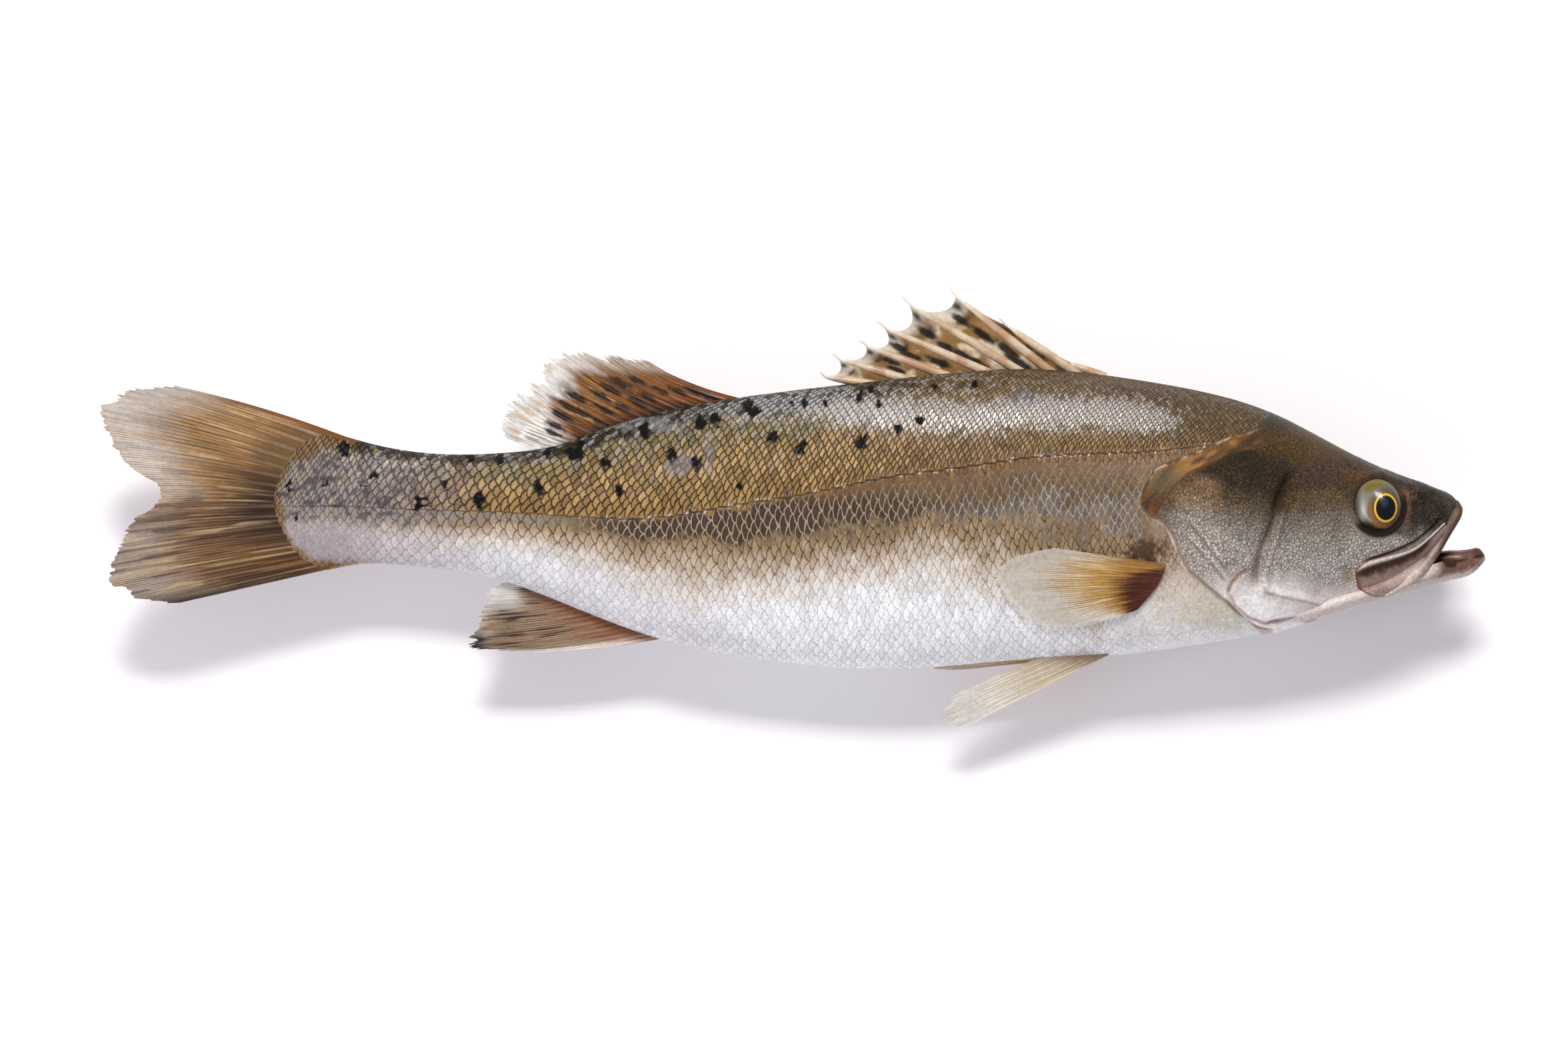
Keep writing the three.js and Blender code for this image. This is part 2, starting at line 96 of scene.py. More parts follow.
def track(points):
    # A curve through (share, x, y) points, read by a share from 0 to 1.
    across, up = curve([(p[0], p[1]) for p in points]), curve([(p[0], p[2]) for p in points])
    return lambda share: (across(share), up(share))


def fade(value, start, end):
    # Smooth step from 0 at start to 1 at end, in either direction.
    t = np.clip((value - start) / (end - start), 0, 1)
    return t * t * (3 - 2 * t)


def bump(value, centre, width):
    # Bell curve of height 1 round centre.
    return np.exp(-((value - centre) / width) ** 2)


def mottle(u, v, seed):
    # Smooth random field from 0 to 1: random numbers on a unit lattice, blended between its corners.
    size = 97  # the field repeats after this many cells
    lattice = np.random.default_rng(seed).random((size, size))
    iu, iv = np.floor(u).astype(int), np.floor(v).astype(int)
    fu, fv = [t * t * (3 - 2 * t) for t in (u - iu, v - iv)]
    at = lambda a, b: lattice[(iu + a) % size, (iv + b) % size]
    low, high = at(0, 0) * (1 - fu) + at(1, 0) * fu, at(0, 1) * (1 - fu) + at(1, 1) * fu
    return low * (1 - fv) + high * fv


def fromLine(x, y, line):
    # Distance to a polyline, positive on its left, and the share of its length at the nearest point.
    line = np.array(line, float)
    best, side, share = np.full(np.shape(x), 1e9), np.zeros(np.shape(x)), np.zeros(np.shape(x))
    lengths = np.hypot(*np.diff(line, axis=0).T)
    passed = np.concatenate([[0], np.cumsum(lengths)]) / lengths.sum()
    for k, (a, b) in enumerate(zip(line[:-1], line[1:])):
        way, px, py = b - a, x - a[0], y - a[1]
        t = np.clip((px * way[0] + py * way[1]) / (way @ way), 0, 1)
        far = np.hypot(px - t * way[0], py - t * way[1])
        closer = far < best
        best = np.where(closer, far, best)
        side = np.where(closer, np.sign(way[0] * py - way[1] * px), side)
        share = np.where(closer, passed[k] + t * (passed[k + 1] - passed[k]), share)
    return best * side, share


def linear(hexColour):
    # sRGB hex to linear red, green and blue.
    srgb = np.array([int(hexColour[i:i + 2], 16) for i in (1, 3, 5)]) / 255
    return np.where(srgb <= 0.04045, srgb / 12.92, ((srgb + 0.055) / 1.055) ** 2.4)


def paint(under, hexColour, amount):
    # Lays a colour over an array of colours, by an amount from 0 to 1 at each point.
    amount = np.clip(amount, 0, 1)[..., None]
    return under * (1 - amount) + linear(hexColour) * amount


def flat(hexColour, x):
    # One colour at every point of a grid.
    return np.broadcast_to(linear(hexColour), x.shape + (3,)).copy()


def layered(under, layers):
    # Lays (colour, amount) pairs over an array of colours, one after the other.
    for hexColour, amount in layers:
        under = paint(under, hexColour, amount)
    return under


backAt, bellyAt, halfAt, widestAt, backRoundAt, bellyRoundAt, lateralAt = [
    curve(body[name]) for name in
    ("back", "belly", "halfWidth", "widest", "backRoundness", "bellyRoundness", "lateralLine")]


def sectionAt(x):
    # The body's section: its top, bottom, thickest height, half width and the two roundnesses.
    high, low = backAt(np.maximum(x, body["tailRound"])), bellyAt(np.maximum(x, body["tailRound"]))
    past = np.clip((body["tailRound"] - x) / (body["tailRound"] - body["tailEnd"]), 0, 0.999)
    middle, half = (high + low) / 2, (high - low) / 2 * (1 - past ** 2.2) ** (1 / 2.2)
    thick = middle + half * (2 * widestAt(x) - 1)
    return middle + half, middle - half, thick, halfAt(x), backRoundAt(x), bellyRoundAt(x)


def skinAt(x, y):
    # How far the skin stands out from the plane of symmetry at a place on the flank.
    top, bottom, thick, half, backPower, bellyPower = sectionAt(x)
    above = y >= thick
    share = np.abs(y - thick) / np.where(above, top - thick, thick - bottom)
    return half * np.sqrt(1 - np.minimum(share, 1) ** np.where(above, backPower, bellyPower))


def skinGrid(x, turn):
    # Points round the section: each half is a superellipse. turn 0 is the back, pi the belly.
    top, bottom, thick, half, backPower, bellyPower = [part[:, None] for part in sectionAt(x)]
    up, out = np.cos(turn)[None], np.sin(turn)[None]
    reach = np.where(up >= 0, top - thick, thick - bottom)
    power = np.where(up >= 0, backPower, bellyPower)
    y = thick + np.sign(up) * reach * np.abs(up) ** (2 / power)
    return np.broadcast_to(x[:, None], y.shape).copy(), y, half * out


def outward(x, y, z):
    # Unit normals of a grid of points, pointing away from the long axis.
    along = np.stack([np.gradient(a, axis=0) for a in (x, y, z)], -1)
    around = np.stack([np.gradient(a, axis=1) for a in (x, y, z)], -1)
    normal = np.cross(along, around)
    normal /= np.linalg.norm(normal, axis=-1, keepdims=True) + 1e-12
    away = np.sum(normal[..., 1:] * np.stack([y - y.mean(1, keepdims=True), z], -1), -1).sum()
    return normal * np.sign(away)


widthRange = np.linspace(-100, 200, 301)
bendAt = lambda x: (x - body["bendMiddle"]) ** 2 / (2 * body["bendRadius"])
restHeight = np.max(halfAt(widthRange) - bendAt(widthRange)) - body["pressedFlat"]


def toFrame(x, y, z):
    # Lays the fish down: bent up at both ends, flat where it rests, over the CAD's outline, in metres.
    x, y, z = np.broadcast_arrays(x, y, z)
    lying = np.maximum(z + bendAt(x) + restHeight, 0)
    return np.stack([x + cadHigh[0] - jawTip, y + cadLow[1] - finBottom, lying], -1) / 1000


def gridFaces(rows, columns, first=0, wrap=False):
    # Quads of a grid of points, numbered row by row from first.
    i, j = np.meshgrid(np.arange(rows - 1), np.arange(columns if wrap else columns - 1), indexing="ij")
    a, b = first + i * columns + j, first + i * columns + (j + 1) % columns
    return np.stack([a, a + columns, b + columns, b], -1).reshape(-1, 4)


def fanFaces(ring, centre):
    # Triangles from a ring of points to one point.
    return np.stack([np.roll(ring, -1), ring, np.full(len(ring), centre)], -1)


def signedVolume(points, faceSets):
    # Sum of the tetrahedra from the middle to each triangle: positive when faces point outwards.
    centred, total = points - points.mean(0), 0.0
    for faces in faceSets:
        a = centred[faces[:, 0]]
        for k in range(1, faces.shape[1] - 1):
            b, c = centred[faces[:, k]], centred[faces[:, k + 1]]
            total += np.einsum("ij,ij->i", a, np.cross(b, c)).sum()
    return total


def solid(points, faceSets, paints, uv, sharp=()):
    # A closed surface in the fish's frame; paints are its tint, net and look at each point.
    if signedVolume(points, faceSets) < 0:
        faceSets = [faces[:, ::-1] for faces in faceSets]
    return {"points": points, "faces": faceSets, "paints": [np.clip(p, 0, 1) for p in paints], "uv": uv,
            "sharp": np.array(sharp, int)}


def slab(top, bottom, paints, uv):
    # A thin solid between two grids of points, with its outline kept as a crisp edge.
    rows, columns = top.shape[:2]
    count = rows * columns
    index = np.arange(count).reshape(rows, columns)
    loop = np.concatenate([index[0, :-1], index[:-1, -1], index[-1, :0:-1], index[:0:-1, 0]])
    after = np.roll(loop, -1)
    faces = [gridFaces(rows, columns), gridFaces(rows, columns, count)[:, ::-1],
             np.stack([loop, after, after + count, loop + count], -1)]
    points = np.concatenate([top.reshape(-1, 3), bottom.reshape(-1, 3)])
    twice = lambda grid: np.tile(grid.reshape(count, -1), (2, 1))
    return solid(points, faces, [twice(p) for p in paints], twice(uv), np.concatenate([loop, loop + count]))


def loft(x, y, z, paints, uv, sharp=()):
    # A solid from rings of points, closed by a fan at each end.
    rows, columns = x.shape
    points = np.stack([x, y, z], -1).reshape(-1, 3)
    ends = np.arange(rows * columns).reshape(rows, columns)[[0, -1]]
    faces = [gridFaces(rows, columns, wrap=True), fanFaces(ends[0][::-1], len(points)),
             fanFaces(ends[1], len(points) + 1)]
    points = np.concatenate([points, points[ends].mean(1)])
    more = lambda grid: np.concatenate([grid.reshape(rows * columns, -1), grid[[0, -1], 0].reshape(2, -1)])
    return solid(points, faces, [more(p) for p in paints], more(uv), sharp)


def tube(path, wide, high, coloursAt, count=16):
    # A solid bar along a path, wide in its own plane and high out of it.
    way = np.gradient(path, axis=0)
    way /= np.linalg.norm(way, axis=1, keepdims=True)
    side = np.cross(way, (0, 0, 1))
    side /= np.linalg.norm(side, axis=1, keepdims=True)
    up = np.cross(side, way)
    turn = np.linspace(0, 2 * np.pi, count, endpoint=False)[None, :, None]
    ring = path[:, None] + side[:, None] * np.cos(turn) * np.reshape(wide, (-1, 1, 1)) \
        + up[:, None] * np.sin(turn) * np.reshape(high, (-1, 1, 1))
    along = np.linspace(0, 1, len(path))[:, None] + 0 * turn[..., 0]
    facing = np.cos(turn[..., 0]) + 0 * along
    x, y, z = ring[..., 0], ring[..., 1], ring[..., 2]
    return loft(x, y, z, coloursAt(x, y, along, facing), np.stack([facing * 0.5, along], -1))


def mirrored(part):
    # The same solid on the other flank.
    return solid(part["points"] * (1, 1, -1), part["faces"], part["paints"], part["uv"], part["sharp"])


def makePiece(name, parts, material):
    # One mesh object from solids in the fish's frame.
    firsts = np.cumsum([0] + [len(part["points"]) for part in parts])
    points = np.concatenate([part["points"] for part in parts])
    faceSets = [faces + first for part, first in zip(parts, firsts) for faces in part["faces"]]
    corners = np.concatenate([faces.ravel() for faces in faceSets]).astype(np.int32)
    sizes = np.concatenate([np.full(len(faces), faces.shape[1]) for faces in faceSets])
    mesh = bpy.data.meshes.new(name)
    mesh.vertices.add(len(points))
    mesh.vertices.foreach_set("co", toFrame(*points.T).astype(np.float32).ravel())
    mesh.loops.add(len(corners))
    mesh.loops.foreach_set("vertex_index", corners)
    mesh.polygons.add(len(sizes))
    mesh.polygons.foreach_set("loop_start", (np.cumsum(sizes) - sizes).astype(np.int32))
    mesh.update(calc_edges=True)
    for k, label in enumerate(("tint", "net", "look")):
        values = np.concatenate([part["paints"][k] for part in parts])
        layer = mesh.color_attributes.new(label, "FLOAT_COLOR", "POINT")
        layer.data.foreach_set("color", np.column_stack([values, np.ones(len(points))]).ravel())
    uv = np.concatenate([part["uv"] for part in parts])
    mesh.uv_layers.new(name="pattern").data.foreach_set("uv", uv[corners].astype(np.float32).ravel())
    sharp = np.concatenate([part["sharp"] + first for part, first in zip(parts, firsts)])
    ends = np.zeros(len(mesh.edges) * 2, np.int32)
    mesh.edges.foreach_get("vertices", ends)
    onLine = np.isin(ends.reshape(-1, 2), sharp).all(1)
    mesh.attributes.new("sharp_edge", "BOOLEAN", "EDGE").data.foreach_set("value", onLine)
    mesh.polygons.foreach_set("use_smooth", np.ones(len(sizes), bool))
    mesh.materials.append(material)
    piece = bpy.data.objects.new(name, mesh)
    bpy.context.scene.collection.objects.link(piece)
    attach(piece, "root")
    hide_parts("fish")
    print(f"{name}: {len(sizes)} faces")


def addNode(tree, kind, inputs=(), **settings):
    # Adds a node; inputs are (socket, value) pairs, and a value that is a socket is linked.
    node = tree.nodes.new(kind)
    for key, value in settings.items():
        setattr(node, key, value)
    for socket, value in inputs:
        if isinstance(value, bpy.types.NodeSocket):
            tree.links.new(value, node.inputs[socket])
        else:
            node.inputs[socket].default_value = value
    return node


def newMaterial(name, fixed):
    # A Principled material with its constant values set on its own sockets.
    material = bpy.data.materials.new(name)
    material.use_nodes = True
    shader = material.node_tree.nodes["Principled BSDF"]
    for socket, value in fixed.items():
        shader.inputs[socket].default_value = value
    return material, material.node_tree, shader


def sums(tree):
    # Short ways to write arithmetic on sockets.
    def math(operation, *values):
        return addNode(tree, "ShaderNodeMath", list(enumerate(values)), operation=operation).outputs[0]

    def mix(amount, first, second):
        node = addNode(tree, "ShaderNodeMix", [(0, amount), (6, first), (7, second)], data_type="RGBA")
        return node.outputs[2]

    def ramp(value, start, end, low=0.0, high=1.0):
        pairs = [(0, value), (1, start), (2, end), (3, low), (4, high)]
        return addNode(tree, "ShaderNodeMapRange", pairs, interpolation_type="SMOOTHSTEP").outputs[0]

    def noise(scale, detail=3.0, rough=0.55, vector=None):
        where = vector or addNode(tree, "ShaderNodeTexCoord").outputs["Object"]
        pairs = [("Vector", where), ("Scale", scale), ("Detail", detail), ("Roughness", rough)]
        return addNode(tree, "ShaderNodeTexNoise", pairs).outputs[0]

    def attribute(name):
        return addNode(tree, "ShaderNodeAttribute", attribute_name=name).outputs["Color"]

    return math, mix, ramp, noise, attribute


perMetre = lambda millimetres: 1000 / millimetres  # noise scale for features of that size


def wetScaledSkin():
    # Overlapping scales under a film of water and slime: each scale is a small tilted mirror over the
    # pigment, so the flank glitters; pale glints are also painted into the base colour as painted highlight,
    # and the dark pockets between scales, pigment and painted shade, are drawn as a net.
    material, tree, shader = newMaterial("wetScaledSkin", {
        "IOR": 1.42, "Coat Weight": 0.1, "Coat Roughness": 0.1, "Specular IOR Level": 0.14})
    math, mix, ramp, noise, attribute = sums(tree)
    parts = addNode(tree, "ShaderNodeSeparateXYZ", [(0, addNode(tree, "ShaderNodeUVMap").outputs[0])]).outputs
    where = addNode(tree, "ShaderNodeTexCoord").outputs["Object"]
    shaken = addNode(tree, "ShaderNodeTexNoise", [
        ("Vector", where), ("Scale", perMetre(3.2)), ("Detail", 2.0)])
    shaken = addNode(tree, "ShaderNodeSeparateColor", [(0, shaken.outputs["Color"])]).outputs
    a, b = [math("ADD", parts[i], math("MULTIPLY", math("SUBTRACT", shaken[i], 0.5), 0.24)) for i in (0, 1)]
    rest = lambda t: math("SUBTRACT", 1.0, math("FRACT", t))
    bulge = lambda t: math("MULTIPLY", math("MULTIPLY", math("FRACT", t), rest(t)), 4 * scales["bulge"])
    warpedA, warpedB = math("SUBTRACT", a, bulge(b)), math("SUBTRACT", b, bulge(a))
    inA, inB = math("FRACT", warpedA), math("FRACT", warpedB)
    cell = addNode(tree, "ShaderNodeCombineXYZ", [(0, math("FLOOR", warpedA)), (1, math("FLOOR", warpedB))])
    chance = addNode(tree, "ShaderNodeTexWhiteNoise", [("Vector", cell.outputs[0])], noise_dimensions="2D")
    draws = addNode(tree, "ShaderNodeSeparateColor", [(0, chance.outputs["Color"])]).outputs
    look = addNode(tree, "ShaderNodeSeparateColor", [(0, attribute("look"))]).outputs
    # Dark pocket at each scale's front, under the free edge of the scale ahead: pigment and painted shade.
    pocketEnd = math("ADD", 0.12, math("MULTIPLY", look[2], 0.1))
    pocket = math("MULTIPLY", ramp(inA, 0.0, pocketEnd), ramp(inB, 0.0, 0.14))
    shade = math("MULTIPLY", look[2], math("SUBTRACT", 1.0, math("MINIMUM", look[0], 1.0)))
    edgeStart = math("SUBTRACT", 0.93, math("MULTIPLY", shade, 0.28))
    edge = math("MULTIPLY", ramp(inA, 1.0, 0.9), ramp(inB, 1.0, edgeStart))
    inside = math("MULTIPLY", pocket, edge)
    grain = noise(perMetre(1.1), 4)
    colour = mix(inside, attribute("net"), attribute("tint"))
    spread = math("ADD", 0.08, math("MULTIPLY", look[2], 0.46))
    unlike = math("MULTIPLY", math("SUBTRACT", draws[0], 0.5), spread)
    value = math("ADD", math("ADD", 0.42, unlike), math("MULTIPLY", grain, 0.72))
    colour = addNode(tree, "ShaderNodeHueSaturation", [("Value", value), ("Color", colour)]).outputs[0]
    # Painted highlight: chosen scales are mixed towards pale silver, most at the upper rear edge that faces
    # the light, and made partly metallic.
    few = math("SUBTRACT", 0.78, math("MULTIPLY", look[0], 1.25))
    glitter = ramp(noise(perMetre(1.1), 3, 0.6), 0.4, 0.58, math("MULTIPLY", look[0], 0.85), 1.0)
    chosen = math("MULTIPLY", ramp(draws[1], few, math("ADD", few, 0.4)), glitter)
    lit = math("MULTIPLY", ramp(inB, 0.15, 0.85, 0.25, 1.0), pocket)
    silverAndGlint = math("MULTIPLY", math("MULTIPLY", ramp(look[0], 0.0, 0.5), chosen), lit)
    colour = mix(math("MULTIPLY", silverAndGlint, 0.8), colour, (*linear("#c9c6c6"), 1))
    tree.links.new(colour, shader.inputs["Base Color"])
    tree.links.new(math("MULTIPLY", silverAndGlint, 0.6), shader.inputs["Metallic"])
    rough = math("ADD", math("MULTIPLY", noise(perMetre(2.5), 2), 0.22), math("MULTIPLY", draws[1], 0.14))
    tree.links.new(math("ADD", rough, look[1]), shader.inputs["Roughness"])
    tiltA = math("MULTIPLY", math("SUBTRACT", draws[0], 0.5), math("SUBTRACT", inA, 0.5))
    tiltB = math("MULTIPLY", math("SUBTRACT", draws[2], 0.5), math("SUBTRACT", inB, 0.5))
    height = math("ADD", math("MULTIPLY", math("ADD", tiltA, tiltB), 1.6), math("MULTIPLY", inside, 0.6))
    height = math("ADD", math("MULTIPLY", height, look[2]), math("MULTIPLY", grain, 0.5))
    relief = addNode(tree, "ShaderNodeBump", [("Strength", 0.9), ("Distance", 0.0005), ("Height", height)])
    tree.links.new(relief.outputs[0], shader.inputs["Normal"])
    tree.links.new(relief.outputs[0], shader.inputs["Coat Normal"])
    return material


def wetHeadSkin():
    # Bare skin and tiny embedded scales over bone: speckled pigment, fine pores and a wet film.
    material, tree, shader = newMaterial("wetHeadSkin", {
        "IOR": 1.42, "Coat Weight": 0.12, "Coat Roughness": 0.1, "Specular IOR Level": 0.16})
    math, mix, ramp, noise, attribute = sums(tree)
    look = addNode(tree, "ShaderNodeSeparateColor", [(0, attribute("look"))]).outputs
    where = addNode(tree, "ShaderNodeTexCoord").outputs["Object"]
    cells = addNode(tree, "ShaderNodeTexVoronoi", [("Vector", where), ("Scale", perMetre(1.5))],
                    feature="DISTANCE_TO_EDGE").outputs["Distance"]
    coarse, fine = noise(perMetre(1.8), 4, 0.7), noise(perMetre(0.5), 3, 0.65)
    seams = ramp(cells, 0.3, 0.04)
    speckle = math("MULTIPLY", math("MULTIPLY", seams, ramp(coarse, 0.3, 0.55)), look[0])
    colour = mix(speckle, attribute("tint"), attribute("net"))
    value = math("ADD", 0.01, math("ADD", math("MULTIPLY", coarse, 1.05), math("MULTIPLY", fine, 0.6)))
    colour = addNode(tree, "ShaderNodeHueSaturation", [("Value", value), ("Color", colour)]).outputs[0]
    clusters = math("MULTIPLY", look[0], ramp(noise(perMetre(7), 2), 0.35, 0.6, 0.3, 1.0))
    glint = math("MULTIPLY", ramp(noise(perMetre(0.8), 4, 0.75), 0.5, 0.62), clusters)
    bright = addNode(tree, "ShaderNodeHueSaturation", [
        ("Value", 2.2), ("Color", attribute("tint"))]).outputs[0]
    colour = mix(math("MULTIPLY", glint, 0.45), colour, mix(0.3, bright, (*linear("#b8945a"), 1)))
    tree.links.new(colour, shader.inputs["Base Color"])
    tree.links.new(math("MULTIPLY", glint, 0.3), shader.inputs["Metallic"])
    tree.links.new(math("ADD", look[1], math("MULTIPLY", fine, 0.3)), shader.inputs["Roughness"])
    height = math("ADD", math("MULTIPLY", fine, look[2]), math("MULTIPLY", coarse, 0.4))
    height = math("SUBTRACT", height, math("MULTIPLY", seams, math("MULTIPLY", look[0], 0.5)))
    relief = addNode(tree, "ShaderNodeBump", [("Strength", 0.8), ("Distance", 0.0006), ("Height", height)])
    tree.links.new(relief.outputs[0], shader.inputs["Normal"])
    tree.links.new(relief.outputs[0], shader.inputs["Coat Normal"])
    return material


def wetFinSkin():
    # Thin wet skin over jointed rays. The rays fork towards the edge, so their lines double twice.
    jointPhase = 90.0  # radians along a ray, so about 14 joints
    material, tree, shader = newMaterial("wetFinSkin", {
        "IOR": 1.4, "Coat Weight": 0.1, "Coat Roughness": 0.15, "Specular IOR Level": 0.25})
    math, mix, ramp, noise, attribute = sums(tree)
    parts = addNode(tree, "ShaderNodeSeparateXYZ", [(0, addNode(tree, "ShaderNodeUVMap").outputs[0])]).outputs
    across, along = parts[0], parts[1]
    look = addNode(tree, "ShaderNodeSeparateColor", [(0, attribute("look"))]).outputs

    def rayLines(times, sharpness):
        turn = math("MULTIPLY", across, times * np.pi)
        return math("POWER", math("ABSOLUTE", math("COSINE", turn)), sharpness)

    def blend(amount, first, second):
        return addNode(tree, "ShaderNodeMix", [(0, amount), (2, first), (3, second)]).outputs[0]

    forks = blend(ramp(along, 0.25, 0.45), rayLines(2, 3.0), rayLines(4, 3.0))
    forks = blend(ramp(along, 0.6, 0.8), forks, rayLines(8, 2.0))
    streakPlace = [(0, math("MULTIPLY", across, 3.0)), (1, math("MULTIPLY", along, 2.5))]
    streak = addNode(tree, "ShaderNodeCombineXYZ", streakPlace)
    streaks = noise(1.0, 5, 0.65, streak.outputs[0])
    lined = math("MULTIPLY", forks, math("MULTIPLY", look[0], ramp(streaks, 0.38, 0.6, 0.15, 1.0)))
    colour = mix(lined, attribute("tint"), attribute("net"))
    value = math("ADD", 0.4, math("MULTIPLY", math("ADD", streaks, noise(perMetre(2), 3)), 0.45))
    colour = addNode(tree, "ShaderNodeHueSaturation", [("Value", value), ("Color", colour)]).outputs[0]
    tree.links.new(colour, shader.inputs["Base Color"])
    tree.links.new(math("ADD", 0.3, math("MULTIPLY", streaks, 0.3)), shader.inputs["Roughness"])
    tree.links.new(look[1], shader.inputs["Alpha"])
    joints = math("MULTIPLY", math("SINE", math("MULTIPLY", along, jointPhase)), 0.12)
    height = math("MULTIPLY", look[0], math("ADD", forks, math("MULTIPLY", joints, forks)))
    height = math("ADD", height, math("MULTIPLY", streaks, 0.4))
    relief = addNode(tree, "ShaderNodeBump", [("Strength", 0.6), ("Distance", 0.0003), ("Height", height)])
    tree.links.new(relief.outputs[0], shader.inputs["Normal"])
    return material


def clearWetEye():
    # Clear wet cornea over the iris.
    material, tree, shader = newMaterial("clearWetEye", {
        "IOR": 1.38, "Roughness": 0.3, "Coat Weight": 0.22, "Coat Roughness": 0.06,
        "Specular IOR Level": 0.3})
    attribute = sums(tree)[4]
    tree.links.new(attribute("tint"), shader.inputs["Base Color"])
    return material


# Lengths and heights of a scale in millimetres, by its place along the body, below and above the lateral
# line. Rows lie half a height apart.
scales = {
    "below": [(-224, 2.8), (-204, 3.6), (-170, 4.8), (-141, 5.5), (-112, 5.2), (-83, 4.9), (-54, 4.5),
              (3, 4.1), (61, 4), (119, 3.8), (148, 3.5), (214, 3)],
    "above": [(-224, 2.4), (-204, 3.2), (-170, 4.5), (-141, 4.9), (-83, 4.3), (-54, 4.1), (-26, 3.7),
              (3, 3.4), (61, 2.9), (90, 2.6), (119, 2.5), (214, 2.2)],
    "belowHeight": [(-224, 3.6), (-204, 4.6), (-170, 6), (-141, 6.8), (-54, 7.8), (3, 8.2), (61, 8.2),
                    (90, 7.8), (119, 6.8), (214, 5)],
    "aboveHeight": [(-224, 3.6), (-204, 4.4), (-170, 5.6), (-141, 6), (-83, 5.6), (-54, 5.4), (3, 4.7),
                    (61, 3.9), (90, 3.5), (119, 3.2), (214, 2.7)],
    "lean": 0.3,         # how far the rows above the line lean forward
    "bulge": 0.2,        # how far the free edge of a scale is bowed
    "lift": 0.28,        # how far its free edge stands up
}
trunk = {"front": 214, "stations": 600, "around": 200}

# Dark spots: x, y, size. Each one darkens the scales that it touches.
spots = [
    (-19, 46, 2.2), (-17, 43.6, 2.4), (-34, 40, 2.4), (-40, 38.2, 2.6), (-63.5, 35.4, 2.9),
    (-8.6, 32.6, 2.4), (-52, 25.8, 2.8), (-95, 24.8, 2.6), (-91.5, 26, 1.8), (-81, 20.6, 2),
    (-41.5, 20.6, 2.4), (-74.6, 9.5, 2.2), (-22.6, 10.8, 1.6), (-109.6, 9, 2.8), (-135.4, 5, 2.8),
    (3.8, 27.4, 2.2), (30, 29.8, 3), (45.4, 36, 2), (54.8, 39, 1.6), (28.8, 49.6, 2.4), (14.4, 46.8, 1.8),
    (0.4, 47.4, 1.8), (4.8, 46.8, 1.6), (37, 45.8, 1.4), (-194, 27.2, 2.6), (-180.6, 16.4, 1.5),
    (-150.4, 12.2, 2.2), (-161.4, 5, 1.5), (-157.6, 4.8, 1.3), (-185.4, 11.6, 1.1), (-197.8, 0.8, 1.3),
    (-214.8, -1.8, 1.2), (-218, 11, 1.2), (-201.2, 13.8, 1.2), (78.8, 55.6, 1.2), (62.4, 54.6, 1),
    (52, 53.8, 1), (33.6, 52.8, 1.2), (99.4, 53.6, 1.1), (-92, 28.4, 2), (-105, 26.4, 2),
    (-126, 23.6, 2.4), (-140, 23.6, 2),
]
# The gill cover's end.
gillEdge = [(211, 75), (209, 52), (206, 42), (201, 36.6), (196, 34.3), (189, 32.9), (183.5, 30.6),
            (177.9, 27.8), (155.8, 19.1), (150.3, 9.8), (149.4, 2.5), (153, -3.1), (160, -6.6),
            (164, -15.9), (168.4, -23), (175, -31), (184, -37), (190.5, -43.4), (198.7, -49), (205, -56),
            (208, -75)]
# Where the scales give way to the skin of the tail fin.
tailArc = [(-182, 33), (-190, 30.4), (-198, 28.8), (-206, 27.6), (-212, 25.8), (-217, 22.8), (-220.4, 18),
           (-222.6, 10), (-223, 0), (-221.4, -8), (-218, -15), (-213, -19.6), (-206, -22), (-192, -24),
           (-182, -26)]
# The dark line where the scales begin behind the nape.
napeArc = [(165, 17.6), (168.2, 21.4), (174, 26.4), (180.6, 30.6), (187, 33.6), (192.4, 35), (197.7, 35.6)]
trunkPatches = [
    # middle x and y, reach along x and y, colour and amount
    (180, -42, 16, 11, "#d2c6ac", 0.8),     # cream skin behind the gill cover's lower edge
    (172, -57, 18, 8, "#fbf9f8", 0.85),     # white breast
    (119, -9, 13, 5, "#6b5a4a", 0.6),       # brown painted shade above the pectoral fin
    (152, -17.5, 9, 7, "#4a3126", 0.9),     # dark painted shade in the gap above its root
    (126, -62, 11, 2.6, "#9a7a64", 0.4),    # flesh at the root of the pelvic fins, darkened with painted shade
    (158, -8, 4, 4, "#a48a78", 0.6),
    (152, 4, 6, 12, "#8a7350", 0.5),
    (-48, 21, 6, 5, "#8d8890", 0.6),        # bluish bruises
    (-62, 38, 12, 3.5, "#a09b9f", 0.5),
    (-36, 26, 3, 10, "#8f8a8d", 0.4),
    (100, 50, 6, 4, "#5d6270", 0.5),
]
highlightBandAt = curve([(-60, 38), (3, 45), (61, 41), (119, 43), (180, 38)])  # height of the band of painted highlight
# How far below the lateral line the white of the belly begins.
whiteFrom = curve([(-224, 10), (-164, 9), (-112, 7.8), (-83, 11.4), (-54, 17.6), (-20, 25.6), (3, 27.5),
                   (61, 30), (119, 46), (160, 50), (214, 50)])


def speckled(x, y, size, seed):
    # Random field about 0 with features of that size in millimetres.
    return mottle((x + 400) / size, (y + 300) / size, seed) - 0.5


